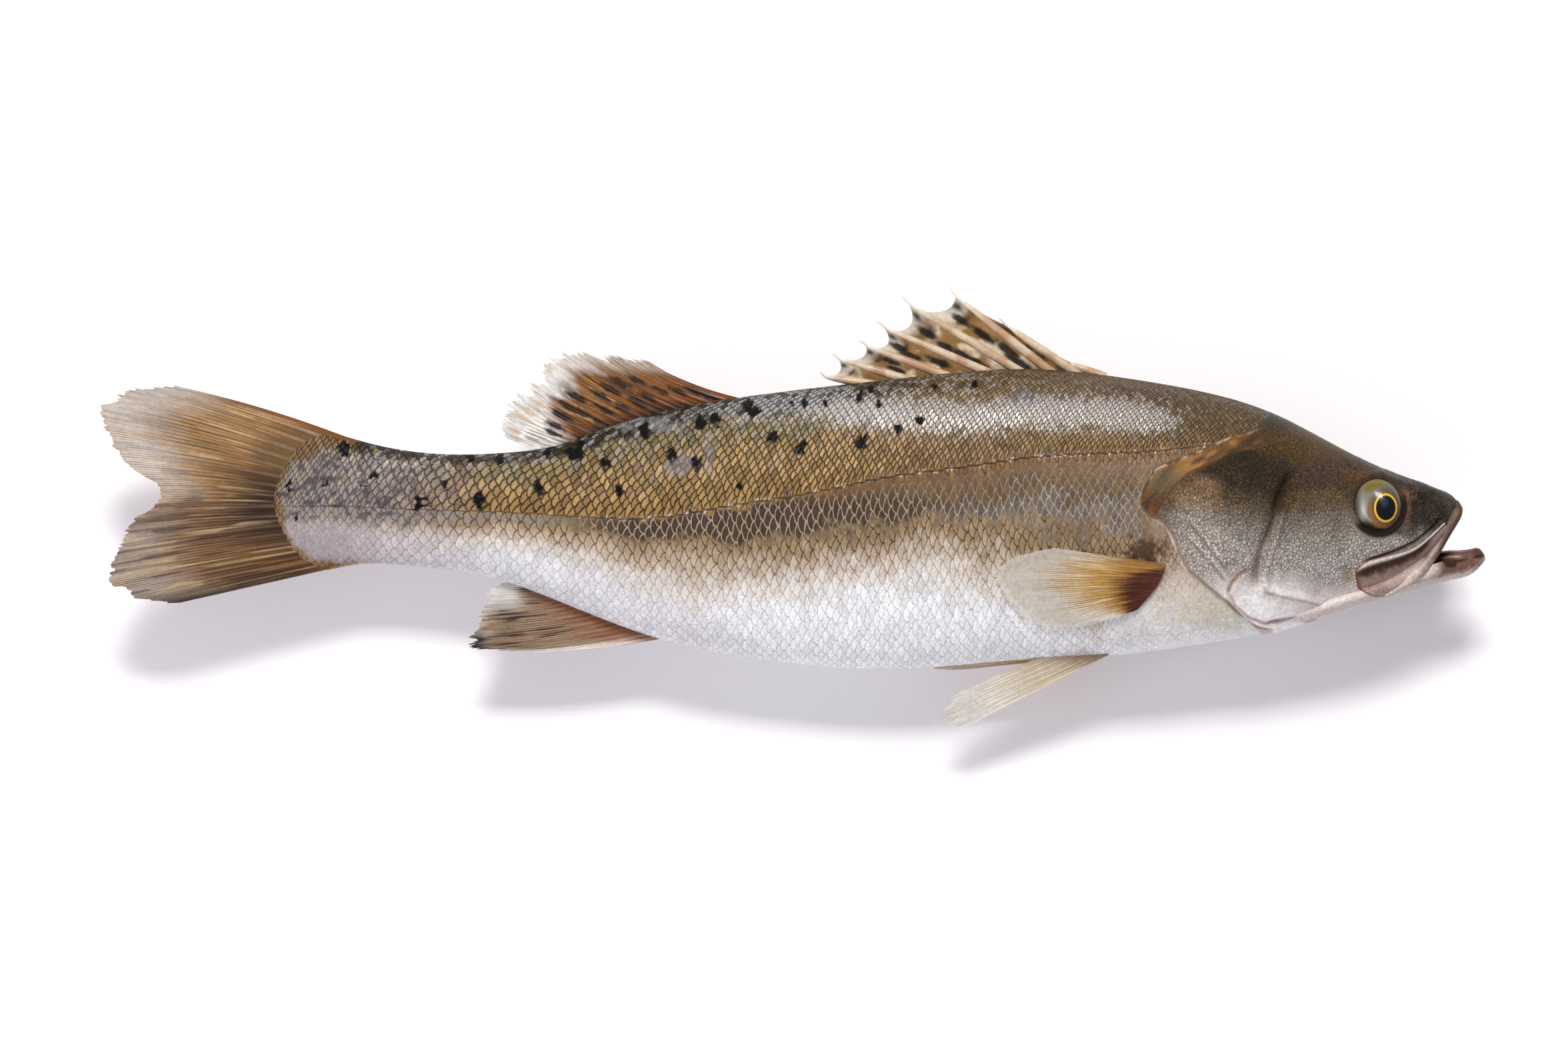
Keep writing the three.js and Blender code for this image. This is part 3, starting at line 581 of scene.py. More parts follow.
def trunkColours(x, y, share, fromTop, below):
    # Pigment by height: share runs from -1 at the back over 0 at the lateral line to 1 at the keel, and pale
    # counts from 0 at the line to 1 where the white of the belly begins.
    wobble = share + 0.1 * speckled(x, y, 22, 1) + 0.1 * speckled(x, y, 7, 2)
    pale = below / whiteFrom(x) + 0.12 * speckled(x, y, 22, 1) + 0.25 * speckled(x, y, 7, 2) \
        + 0.25 * speckled(x, y, 2.6, 46)
    tint, net = flat("#9c7d4e", x), flat("#38240b", x)
    tail, front = fade(x, -125, -185), fade(x, 40, 130)
    upper = fade(wobble, -0.3, -0.55)
    tint, net = paint(tint, "#86744c", upper), paint(net, "#2e2410", upper)
    olive = front * fade(wobble, -0.05, -0.3)
    tint, net = paint(tint, "#7f6f50", olive * 0.8), paint(net, "#1f170a", olive)
    # Painted highlight: the soft box's reflection along the upper flank, painted as a silvery band with
    # darker gaps between the scales.
    band = bump(y, highlightBandAt(x), 6.5) * fade(x, -45, 45) * fade(x, 188, 132)
    paintedHighlight = band * (0.8 + 0.5 * speckled(x, y, 6, 47))
    tint, net = paint(tint, "#c2baae", paintedHighlight), paint(net, "#4d4335", band)
    dull = fade(speckled(x, y, 9, 48) + 0.6 * speckled(x, y, 3.4, 49), 0.12, 0.3) * fade(wobble, -0.3, -0.5)
    tint = paint(tint, "#8b8680", dull * fade(x, 40, -20) * fade(x, -150, -110) * 0.5)
    ridge = fade(wobble, -0.6, -0.74)
    tint, net = paint(tint, "#262009", ridge * 0.95), paint(net, "#0e0c06", ridge)
    nape = fade(x, 140, 176) * fade(wobble, 0, -0.2)
    tint, net = paint(tint, "#352c18", nape * 0.9), paint(net, "#1b150a", nape)
    crown = fade(wobble, -0.38, -0.62) * fade(x, 100, 155)
    tint, net = paint(tint, "#19150a", crown * 0.95), paint(net, "#0e0c05", crown)
    behind = bump(fromLine(x, y, napeArc)[0] + 1.2 * speckled(x, y, 2, 56), 0, 1.1)
    tint, net = paint(tint, "#1d150a", behind * 0.85), paint(net, "#0f0a05", behind * 0.85)
    dusk = fade(pale, -0.05, 0.1) * fade(x, -125, -70)
    tint, net = paint(tint, "#463a31", dusk), paint(net, "#b09a7e", dusk * 0.9)
    mist = fade(x, 30, 110) * fade(pale, 0.25, 0.5)
    tint, net = paint(tint, "#776c66", mist * 0.85), paint(net, "#aaa088", mist * 0.75)
    foreFlank = fade(x, 20, 70) * fade(pale, 0.45, 0.2)
    tint, net = paint(tint, "#80664a", foreFlank * 0.6), paint(net, "#5a4426", foreFlank * 0.5)
    ashen = fade(pale, -0.05, 0.15) * fade(x, -85, -112)
    tint, net = paint(tint, "#8d8379", ashen * 0.9), paint(net, "#5c4c38", ashen * 0.8)
    # Behind the middle the belly whitens more slowly.
    slow = np.interp(pale, [0, 0.4, 0.74, 1.25, 2.05, 3], [0, 0.45, 0.88, 1.1, 1.65, 2.5])
    white = pale + (slow - pale) * fade(x, 0, -50)
    for colour, netColour, start, end in (
            ("#988162", "#4a3824", 0.53, 0.78), ("#bbaa98", "#80664a", 0.8, 1.12),
            ("#ddd7d1", "#bcaa96", 1.06, 1.5), ("#f4f6f9", "#d3d0cf", 1.4, 2.0)):
        reached = fade(white, start, end)
        tint, net = paint(tint, colour, reached), paint(net, netColour, reached)
    cream = fade(pale, 1.3, 1.9) * fade(pale, 3.4, 2.2) * fade(x, -20, -70) * fade(x, -200, -150)
    tint, net = paint(tint, "#cfc8c3", cream * 0.85), paint(net, "#b3a89e", cream * 0.7)
    dim = fade(pale, 1.9, 2.6) * fade(x, 10, -50)
    tint, net = paint(tint, "#dcdbe0", dim * 0.85), paint(net, "#c4beba", dim * 0.8)
    grey = tail * fade(wobble, -0.85, -0.5)
    tint = paint(tint, "#8b8386", grey * fade(pale, 1.2, 0) * 0.95)
    net = paint(net, "#564b42", grey * fade(pale, 1.2, 0) * 0.9)
    soft = 0.5 + 0.5 * speckled(x, y, 5, 50) + 1.2 * speckled(x, y, 1.7, 51)
    tint = layered(tint, [
        ("#453d3d", tail * fade(pale, 1.2, 0.5) * fade(soft, 0.52, 0.85) * 0.75),
        ("#a3906f", tail * fade(pale, 1, 0.4) * fade(soft, 0.4, 0.1) * 0.6)])
    pink = tail * fade(pale, 0.3, 1.4)
    tint, net = paint(tint, "#c0b6b7", pink), paint(net, "#9c9196", pink)
    tint = paint(tint, "#938889", pink * fade(x, -172, -205) * 0.8)
    rim = fade(fromTop, 4.2, 1.8) * fade(x, -80, -120)
    tint, net = paint(tint, "#2f2616", rim), paint(net, "#1b150a", rim)
    outer = fromLine(x, y, tailArc)[0] + 3 * speckled(x, y, 4, 42) + 3 * speckled(x, y, 1.6, 52)
    topGold = fade(fromTop, 8, 2) * fade(x, -186, -200) * 0.8
    gold = np.maximum(topGold, fade(outer, 4, -0.5) * fade(x, -184, -192))
    tint, net = paint(tint, "#7d6140", gold), paint(net, "#3d2a14", gold)
    rough = 1.1 * speckled(x, y, 1.7, 53)
    return patched(tint, x, y, trunkPatches, rough), patched(net, x, y, trunkPatches, rough)


def scaleCells(a, b):
    # Place inside a scale and the scale's number, with the free edges bowed out towards the tail.
    bow = lambda t: 4 * scales["bulge"] * (t % 1) * (1 - t % 1)
    warpedA, warpedB = a - bow(b), b - bow(a)
    return warpedA % 1, warpedB % 1, np.floor(warpedA), np.floor(warpedB)


def cellMiddles(x, y, cellA, cellB):
    # Mean place of all points of each scale, given back at each point.
    rowLength = 4096  # more than the scales in any row, so that no two scales share a key
    key = ((cellA - cellA.min()) * rowLength + (cellB - cellB.min())).astype(np.int64).ravel()
    _, index = np.unique(key, return_inverse=True)
    count = np.bincount(index)
    return [(np.bincount(index, grid.ravel()) / count)[index].reshape(x.shape) for grid in (x, y)]


def makeTrunkHalf():
    # Skin of one side from the nape to the tail rays. S and T count scales along and round the body, and
    # a = S + T and b = S - T count the diagonal rows, so that a scale is one unit square of (a, b).
    count = trunk["around"]
    x1 = np.linspace(trunk["front"], body["tailEnd"] + 0.05, trunk["stations"])
    turn = np.linspace(0, np.pi, count)
    x, y, z = skinGrid(x1, turn)
    arc = np.concatenate([np.zeros((len(x1), 1)), np.cumsum(np.hypot(np.diff(y), np.diff(z)), 1)], 1)
    line, row = lateralAt(x1), np.arange(len(x1))
    k = np.clip((y > line[:, None]).sum(1), 1, count - 1)
    t = (y[row, k - 1] - line) / (y[row, k - 1] - y[row, k])
    lineArc = arc[row, k - 1] + t * (arc[row, k] - arc[row, k - 1])
    below = arc - lineArc[:, None]
    share = np.where(below < 0, below / lineArc[:, None], below / (arc[:, -1] - lineArc)[:, None])
    upper = fade(share, -0.01, -0.1)
    period = curve(scales["belowHeight"])(x) * (1 - 0.15 * fade(share, 0.5, 1)) * (1 - upper) \
        + curve(scales["aboveHeight"])(x) * (1 - 0.14 * fade(share, -0.4, -0.9)) * upper
    steps = np.diff(arc, axis=1) * 2 / (period[:, 1:] + period[:, :-1])
    rows = np.concatenate([np.zeros((len(x1), 1)), np.cumsum(steps, 1)], 1)
    rows -= (rows[row, k - 1] + t * (rows[row, k] - rows[row, k - 1]))[:, None]
    counted = lambda name: np.concatenate(
        [[0], np.cumsum(-np.diff(x1) / curve(scales[name])(x1[1:]))])[:, None]
    leaning = counted("above") - scales["lean"] * below / curve(scales["above"])(x)
    along = np.where(below < 0, leaning, counted("below"))
    a = along + rows + 0.4 * speckled(x, y, 9, 35) + 0.25 * speckled(x, y, 4.5, 36)
    b = along - rows + 0.4 * speckled(x, y, 9, 37) + 0.25 * speckled(x, y, 4.5, 38)

    inA, inB, cellA, cellB = scaleCells(a, b)
    edge = np.minimum(np.minimum(1 - inA, 1 - inB) / 0.2, 1)
    lift = scales["lift"] * (1 - 0.7 * fade(share, 0.25, 0.7)) * (1 - 0.5 * fade(share, 0, -0.3))
    onLine = bump(below + 0.8 * speckled(x, y, 2, 44), 0, 0.8) * fade(x, -130, -60)
    relief = lift * edge * (0.3 + 0.7 * (inA + inB) / 2) + 0.15 * onLine
    relief = relief - 2.2 * fade(fromLine(x, y, gillEdge)[0], 0.5, 3)
    normal = outward(x, y, z)
    x, y, z = [grid + normal[..., i] * relief for i, grid in enumerate((x, y, z))]
    z[:, [0, -1]] = 0

    tint, net = trunkColours(x, y, share, arc, below)
    middleX, middleY = cellMiddles(x, y, cellA, cellB)
    dark = np.zeros(x.shape)
    for spotX, spotY, size in spots:
        placeX, placeY = middleX + (x - middleX) * 0.45, middleY + (y - middleY) * 0.45
        reach = np.hypot(placeX - spotX, (placeY - spotY) * 0.8)
        reach = reach + 2.2 * speckled(x, y, 1.7, 39) + 1.6 * speckled(x, y, 3.5, 45)
        dark = np.maximum(dark, fade(reach, size * 1.05, size * 0.75))
    tint, net = paint(tint, "#060505", dark), paint(net, "#050404", dark)
    chance = mottle(cellA * 0.73 + 50, cellB * 0.61 + 20, 40)
    fore = fade(x, -10, 30)
    tint = paint(tint, "#7b5a36", bump(below, 1.5, 3.5) * fore * 0.7)
    net = paint(net, "#4a3018", bump(below, 1.5, 3.5) * fore * 0.7)
    specks = onLine * fade(chance, 0.35, 0.7) * fade(inA + inB, 0.7, 1.2) \
        * fade(speckled(x, y, 1.4, 43), -0.2, 0.1)
    tint = paint(tint, "#efe6da", specks * 0.9)
    net = paint(net, "#8a6a45", onLine * 0.7)
    # Silvery glints: the band of painted highlight, specks on the lateral line, sparkle on the back and a
    # little just above the line; the shader paints them pale.
    silverAndGlint = 0.85 * bump(y, highlightBandAt(x), 6.5) * fade(x, -45, 45) * fade(x, 178, 150) + 0.7 * specks
    silverAndGlint = silverAndGlint + 0.2 * fade(share, -0.52, -0.7) * (1 - fade(x, 70, 120)) \
        + 0.14 * fade(share, -0.02, -0.2)
    silverAndGlint = np.minimum(silverAndGlint, 0.9) * (1 - 0.8 * fade(x, -170, -200))
    bare = fade(np.hypot((x - 176) / 40, (y + 50) / 26), 1.15, 0.7)
    shingle = (1 - 0.75 * fade(share, -0.06, 0.04) - 0.1 * fade(share, 0.3, 0.6)) * (1 - bare)
    shingle = shingle * (1 - 0.35 * fade(x, -150, -200))
    net = paint(net, "#ddd8cf", bare * 0.95)
    rough = 0.22 + 0.1 * fade(share, 0.2, 0.6) + 0.5 * dark + 0.25 * fade(share, -0.7, -0.9)
    look = np.stack([silverAndGlint * (1 - dark), rough, shingle], -1)

    # The first and last columns turn in under the other half, which closes the ring.
    padded = lambda grid, first, last: np.concatenate([grid[:, :1] + first, grid, grid[:, -1:] + last], 1)
    x, y, z = padded(x, 0, 0), padded(y, -1, 1), padded(z, -0.6, -0.6)
    paints = [padded(grid, 0, 0) for grid in (tint, net, look)]
    rings = np.arange(x.size).reshape(x.shape)
    return loft(x, y, z, paints, padded(np.stack([a, b], -1), 0, 0), rings[:, [1, -2]].ravel())


head = {
    "back": 146, "front": 290.2,
    "rightAround": 220, "leftAround": 110,  # points round the right flank and round the left one
    "lift": 1.4,                            # how far the gill cover stands up
    "tuck": 2.6,                            # how deep the skin turns in behind its edge
}
eye = {"x": 252.4, "y": 2.7, "z": 14.2, "long": 10.6, "high": 11.6, "wide": 7.2, "lean": 12,
       "pupil": (255.7, 1.7), "pupilLong": 4.1, "pupilHigh": 5.1, "grid": (120, 110)}
headLines = {
    "coverEdge": [(212, 31.5), (205, 30), (199, 27.4), (189, 26), (181.6, 21.8), (170.6, 16.3), (165, 11.7),
                  (158.6, 3.4), (155.8, -1.2), (160.9, -6.7), (164.1, -11.3), (165.9, -17.8), (170.6, -25.2),
                  (177.9, -31.6), (185.3, -37.2), (191.7, -43.6), (199.1, -49.1), (207.4, -51)],
    "spineRidge": [(169.2, -2.1), (177.9, -13.2), (187.1, -24.2)],
    "ridgeBelow": [(167, -8), (174.6, -15.4), (181, -22.4), (187.6, -30)],
    "suture": [(196.4, -24.2), (191.5, -27.5), (189, -30.5), (187.1, -35.4)],
    "cheekGroove": [(217, 19), (212, 11), (209.6, 5), (207.2, -1), (204.4, -10), (201.6, -18), (200, -25),
                    (200.4, -34)],
    "cheekRear": [(208, 2), (205.6, -3), (202.4, -11), (199.8, -18), (198.2, -25), (198.6, -32)],
    "cheekEdge": [(214, 10), (210.6, -1), (207.4, -11), (204.6, -19), (202.4, -27), (204, -33), (211.1, -35),
                  (220.3, -37), (235, -41)],
    "throatFold": [(186, -36), (188, -38.6), (195.4, -46.4), (201.9, -49.6), (210, -50.6)],
    "innerFold": [(187, -33), (191, -40), (197, -45), (204, -47.5), (216, -46)],
    "cheekBone": [(245, -22.6), (254, -19.6), (263.2, -16.2), (270, -12.6), (276, -7.8), (282, -1.6)],
    "brow": [(246, 14.6), (254, 16.4), (262, 13), (268, 10)],
    "jawLine": [(203, -47), (222, -44.5), (235.5, -41), (246, -37.5)],
}
# The head's colour by height, from the throat to the nape.
headStops = [(-55, "#ece4e0"), (-40, "#e6dcd8"), (-33, "#cdc2bd"), (-28, "#c4bab4"), (-20, "#bdb3ac"),
             (-11, "#a9a097"), (-3, "#897e71"), (6, "#594832"), (14, "#44331d"), (23, "#463312"),
             (33, "#40341a"), (44, "#261f0c"), (64, "#1e1908")]
headPatches = [
    # middle x and y, reach along x and y, colour and amount
    (222, 29, 26, 8, "#553a08", 0.95),      # olive gold behind the nape
    (195, 17, 18, 9, "#2a200f", 0.88),      # dark top of the gill cover
    (207, 13, 7, 12, "#2b1d0e", 0.8),
    (229, 15, 13, 6, "#4b3930", 0.8),       # purplish brown behind the eye
    (228, 5, 14, 5, "#6b5636", 0.6),
    (173, 7, 12, 9, "#99795a", 0.8),
    (172, -8, 11, 12, "#b0a498", 0.7),      # silvery middle of the gill cover
    (243, 14, 9, 5, "#5f4115", 0.8),        # golden brown at the eye's upper rear
    (205, -30, 5, 6, "#d3c9c6", 0.8),       # white grains at the corner of the cheek
    (174, -20, 13, 15, "#cdc0b5", 0.7),
    (230, -27, 16, 8, "#c9c3c0", 0.6),
    (244, -31, 9, 8, "#ddd2cd", 0.75),      # pale skin behind the corner of the mouth
    (239, -27, 3, 5, "#8c7a5a", 0.6),
    (268, 12, 12, 5, "#3a2b22", 0.85),
    (277, 2.5, 15, 10, "#180f09", 0.95),    # dark snout
    (272, -4, 8, 5, "#2a1d13", 0.85),
    (265, -8.5, 7, 3, "#453526", 0.75),
]


def gradient(value, stops):
    # Colours along a scale of named stops.
    places, colours = [stop[0] for stop in stops], np.array([linear(stop[1]) for stop in stops])
    return np.stack([np.interp(value, places, colours[:, i]) for i in range(3)], -1)


def patched(tint, x, y, patches, rough=0):
    # Lays soft-edged oval patches over a colour.
    wobble = rough + 0.35 * speckled(x, y, 6, 31) + 0.3 * speckled(x, y, 2.2, 32)
    for middleX, middleY, reachX, reachY, colour, amount in patches:
        far = np.hypot((x - middleX) / reachX, (y - middleY) / reachY) + wobble
        tint = paint(tint, colour, amount * fade(far, 1.35, 0.45))
    return tint


def near(x, y, name, width):
    # 1 on one of the head's lines, falling off to both sides and to its ends.
    far, share = fromLine(x, y, headLines[name])
    return bump(far, 0, width) * fade(share, 0, 0.12) * fade(share, 1, 0.88)


def creaseLightAndShade(tint, x, y, name, width, light, dark, amount):
    # A sharp crease as two painted lines of light and shade, the first colour on the line's left and the
    # second on its right.
    far, share = fromLine(x, y, headLines[name])
    ends = amount * fade(share, 0, 0.12) * fade(share, 1, 0.88)
    return paint(paint(tint, light, bump(far, width, width) * ends), dark, bump(far, -width, width) * ends)


def headSurface(x, y):
    # Height of the head's details over the plain loft, its colours and its look.
    edge = fromLine(x, y, gillEdge)[0]
    cover = fromLine(x, y, headLines["coverEdge"])[0]
    nape = fade(y, 31, 37)
    tuck, lift = head["tuck"], head["lift"] * fade(x, 240, 208)
    plate = 0.4 + (lift - 0.4) * fade(cover, -0.6, 0.8)
    height = (-tuck + (tuck + plate) * fade(edge, -1.6, 0.6)) * (1 - nape) \
        + (0.6 * fade(x, 240, 208) - tuck * fade(edge, 1, -4)) * nape
    ahead = fade(edge, 0, 2)
    band = fade(edge, -0.2, 2) * fade(cover, 1.6, -1) * (1 - nape) * fade(x, 207, 199)
    height = height + 0.5 * bump(cover, 1.6, 1.6) * ahead * (1 - nape)
    groove = near(x, y, "cheekGroove", 2.2)
    height = height - 2.4 * groove + 1.5 * near(x, y, "cheekEdge", 1.6) + 0.7 * near(x, y, "spineRidge", 1.3)
    for name, depth, width in (("suture", 0.7, 0.8), ("throatFold", 1.0, 0.8), ("innerFold", 0.6, 0.8),
                               ("jawLine", 0.6, 0.8), ("cheekBone", 1.3, 0.9)):
        height = height - depth * near(x, y, name, width)
    turn = np.radians(eye["lean"])
    ex, ey = x - eye["x"], y - eye["y"]
    ex, ey = ex * np.cos(turn) + ey * np.sin(turn), ey * np.cos(turn) - ex * np.sin(turn)
    eyeReach = np.hypot(ex / eye["long"], ey / eye["high"])
    height = height - 3.5 * fade(eyeReach, 1.03, 0.8) + 0.4 * bump(eyeReach, 1.24, 0.14) * fade(ey, 8, -6)
    height = height + 1.0 * near(x, y, "brow", 1.7)
    front, rear = np.hypot(x - 268.3, y - 6.9), np.hypot(x - 271.6, (y - 6.4) * 0.9)
    height = height - 0.9 * bump(front, 0, 0.9) - 1.3 * bump(rear, 0, 1.1) + 0.5 * bump(rear, 2, 0.6) \
        + 0.35 * bump(front, 1.6, 0.5)
    rough = fade(x, 225, 262) * fade(y, -2, 8)
    height = height + 1.1 * rough * speckled(x, y, 2.4, 3) + 0.3 * speckled(x, y, 5, 4)

    level = y + 8 * speckled(x, y, 15, 5) + 5 * speckled(x, y, 5, 6) - 5 * fade(x, 235, 280)
    tint = patched(gradient(level, headStops), x, y, headPatches)
    net = tint * 0.3
    lower = fade(level, -32, -44) * fade(x, 182, 192)
    tint, net = paint(tint, "#fffcfa", lower), paint(net, "#cbbab3", lower)
    # The cheek's groove: a thin dark line and soft darkening over its upper part, dark pigment with painted
    # shade; below it, pale pink skin with painted light and a thin brown line of painted shadow.
    tint = paint(tint, "#1c1108", near(x, y, "cheekGroove", 0.9) * fade(y, -24, -10))
    # Painted shadow and painted light on the two sides of the cheek's raised rear edge.
    tint = creaseLightAndShade(tint, x, y, "cheekRear", 0.7, "#3a291b", "#b7a393", 0.8 * fade(y, 2, -6))
    tint = layered(tint, [
        ("#3b2c1c", groove * fade(y, -14, 6) * 0.45),
        ("#cdb9b0", groove * fade(y, -8, -20) * 0.75),
        ("#6b4f42", near(x, y, "cheekGroove", 0.6) * fade(y, -10, -18) * 0.85)])
    # Painted highlights along the ridges of the gill cover and the cheek's edge, each with painted shadow
    # under it.
    tint = creaseLightAndShade(tint, x, y, "spineRidge", 0.6, "#f6efeb", "#5d5047", 0.95)
    tint = creaseLightAndShade(tint, x, y, "ridgeBelow", 0.6, "#efe7e3", "#6a5d53", 0.85)
    tint = creaseLightAndShade(tint, x, y, "cheekEdge", 0.8, "#efe7e3", "#8a7a72", 0.6 * fade(y, -6, -14))
    grains = fade(np.hypot((x - 205) / 7, (y + 30) / 8), 1.2, 0.3)
    tint = paint(tint, "#ece4e0", grains * fade(speckled(x, y, 1.3, 33), 0.05, 0.3))
    streak = speckled(cover * 3, x, 5, 41)
    tint, net = paint(tint, "#6b4110", band * 0.95), paint(net, "#3a210a", band)
    tint = layered(tint, [
        ("#2d1f0e", band * fade(streak, -0.05, 0.25) * 0.85),
        ("#a06e2c", band * fade(streak, -0.1, -0.3) * 0.75),
        ("#4f4a2c", band * fade(np.hypot((x - 160) / 11, (y - 13) / 7), 1.3, 0.4) * 0.7),
        ("#4c2a14", band * fade(np.hypot((x - 158) / 4, (y - 3) / 5), 1.4, 0.4) * 0.9),
        # painted highlight: pale specks along the gill cover's edge
        ("#e0cfae", bump(edge, 0.9, 0.5) * fade(y, 12, 18) * fade(speckled(x, y, 2.4, 34), 0, 0.3)
         * (1 - nape) * 0.7)])
    flap = fade(edge, -0.5, 0.5) * fade(cover, 0.8, -0.4) * fade(y, -2, -6)
    tint, net = paint(tint, "#cbbfb8", flap), paint(net, "#a8988f", flap)
    rim = bump(cover, 0.2, 0.7) * fade(y, 2, -4) * fade(x, 207, 200)
    tint = paint(tint, "#6d4d38", rim * 0.8)
    # Coloured lines along the folds and sutures; the dark one along the cheek bone is painted shadow in the
    # gap above the upper jaw.
    for name, colour, width in (("suture", "#9a6236", 0.7), ("throatFold", "#80543f", 0.6),
                                ("innerFold", "#9f8378", 0.6), ("jawLine", "#8c6b66", 0.6),
                                ("cheekBone", "#21150e", 1.3)):
        tint = paint(tint, colour, near(x, y, name, width) * 0.85)
    streak = fade(np.hypot((x - 226) / 5, (y + 47) / 1.2), 1.4, 0.5)
    tint = paint(tint, "#a05c3e", streak * 0.8)
    flesh = fade(np.hypot((x - 264.6) / 2.4, (y - 2.5) / 8), 1.3, 0.6)
    tint = paint(tint, "#94643f", flesh * 0.85)
    # Dark lower lid under the eye, with painted shade where the eyeball stands over it.
    under = fade(eyeReach, 1.3, 1.16) * fade(ey - 0.35 * ex, 2, -4)
    tint, net = paint(tint, "#1c1008", under), paint(net, "#0f0804", under)
    tint = layered(tint, [
        ("#3d3020", bump(eyeReach, 1.08, 0.08) * fade(ey, -3, 4) * 0.8),
        ("#1f1512", bump(rear, 1.2, 0.7) * 0.85),
        ("#9a5c1e", bump(front, 0, 1.0) * 0.85),
        ("#2f221d", near(x, y, "brow", 1.2) * 0.6)])
    speckle = fade(level, 52, 44) * fade(level, -36, -24) * ahead * (1 - band)
    look = np.stack([(0.9 * speckle + 0.1) * (1 - under), 0.2 + 0.1 * fade(y, -20, -40) + 0.4 * under,
                     0.4 + 0.6 * speckle], -1)
    return height, tint, net, look


def makeHead():
    # The body's section carried on to the snout, raised along its normals by the height of the details.
    x1 = np.concatenate([np.linspace(head["back"], 235, 126), np.linspace(235, head["front"], 118)[1:]])
    turn = np.concatenate([np.linspace(0, np.pi, head["rightAround"], endpoint=False),
                           np.linspace(np.pi, 2 * np.pi, head["leftAround"], endpoint=False)])
    x, y, z = skinGrid(x1, turn)
    normal = outward(x, y, z)
    height, tint, net, look = headSurface(x, y)
    height = height * (0.25 + 0.75 * np.abs(normal[..., 2]) ** 0.5)
    x, y, z = [grid + normal[..., i] * height for i, grid in enumerate((x, y, z))]
    return loft(x, y, z, [tint, net, look], np.stack([x, y], -1) / 10)


def makeEye():
    # An ellipsoid whose painted front follows the rings of the iris round the pupil.
    around, rings = eye["grid"]
    turn, share = np.linspace(0, 2 * np.pi, around, endpoint=False), np.linspace(0.004, 0.9, rings)
    t, u = share[:, None] * np.pi, turn[None]
    lean = np.radians(eye["lean"])
    px, py = eye["long"] * np.sin(t) * np.cos(u), eye["high"] * np.sin(t) * np.sin(u)
    x = eye["x"] + px * np.cos(lean) - py * np.sin(lean)
    y = eye["y"] + px * np.sin(lean) + py * np.cos(lean)
    z = eye["z"] + eye["wide"] * np.cos(t) + 0 * u
    z = z + 0.7 * bump(np.hypot(x - eye["pupil"][0], y - eye["pupil"][1]), 0, 6)
    qx, qy = x - eye["pupil"][0], y - eye["pupil"][1]
    reach = np.hypot(qx / eye["pupilLong"], qy / eye["pupilHigh"])
    angle = np.arctan2(qy, qx)
    streaks = mottle(angle * 9 + 40, reach * 2 + 10, 7) - 0.5
    tint = flat("#6e6a5c", x)
    left = fade(qx, -6.5, -9.5)
    tint = layered(tint, [
        ("#807f78", left * fade(qy, 10, -2) * 0.9),
        # painted highlight in the middle of the silvery crescent
        ("#b9b8b4", bump(qx, -9.8, 1.3) * bump(qy, -2.5, 4.5) * 0.9),
        ("#55523f", left * fade(qx, -10.8, -13) * 0.8),
        ("#655b12", (1 + 0.6 * streaks) * fade(qy, 5.6, 8.2) * fade(qx, 6, 2) * fade(qx, -11, -7) * 0.95),
        ("#8a7a3c", fade(qx, 4.5, 7) * fade(qy, 2, -4) * 0.5),
        ("#4a3626", fade(qy, -4.5, -8) * 0.9),
        ("#5b5b60", fade(reach, 2.0, 1.8) * fade(qy, -6, 0) * 0.7)])
    iris = fade(reach + 0.12 * streaks - 0.25 * fade(qx + qy, -2, -8), 1.78, 1.6)
    tint = layered(tint, [
        ("#6b5138", iris),
        ("#875830", iris * fade(qx + qy, 1, -5) * (0.65 + 0.5 * streaks)),
        ("#3b3a42", bump(reach, 1.4, 0.13) * fade(qx + qy, -14, -3) * 0.8),
        ("#54503f", iris * fade(qy, 1, 5) * 0.6),
        ("#d6ad10", fade(reach, 1.25, 1.19)),
        ("#0a0d15", fade(reach, 1.07, 1.02)),
        # painted highlight: a soft blue-grey reflection in the top of the pupil
        ("#2a3545", fade(np.hypot((qx + 0.6) / 2, (qy - 2) / 2.4), 1.2, 0.2) * 0.6),
        ("#1d120a", fade(qy + 0.12 * np.abs(qx + 2) ** 1.5, -8.4, -10)),
        ("#2a1c10", fade(np.cos(t) + 0 * u, 0.42, 0.2))])
    look = np.stack([0 * x, 0.05 + 0 * x, 0 * x], -1)
    return loft(x, y, z, [tint, tint, look], np.stack([angle, reach], -1))


jaw = {
    "rim": [(196, -44), (240, -34), (262, -25.4), (275, -17.6), (286, -15.2), (294, -14.8), (298, -15.8),
            (300, -19.6)],
    "under": [(196, -53.6), (213, -50.2), (242, -41.6), (272, -33), (287, -29.2), (296, -25.4), (300, -20.8)],
    "halfWidth": [(196, 5), (212, 13), (230, 17), (245, 16.6), (262, 13), (280, 9), (292, 6.4), (298, 3.6),
                  (300, 1)],
    "stations": (80, 96), "around": 150,     # of the lower jaw, behind and before x = 262
    "boneGrid": (90, 44),
    "lipSteps": 90, "lipAround": 26,
    "lipRadius": [(0, 1.2), (0.1, 2.3), (0.3, 2.5), (0.8, 2.2), (1, 1.2)],
}
rimAt, underAt, jawWidthAt = [curve(jaw[name]) for name in ("rim", "under", "halfWidth")]


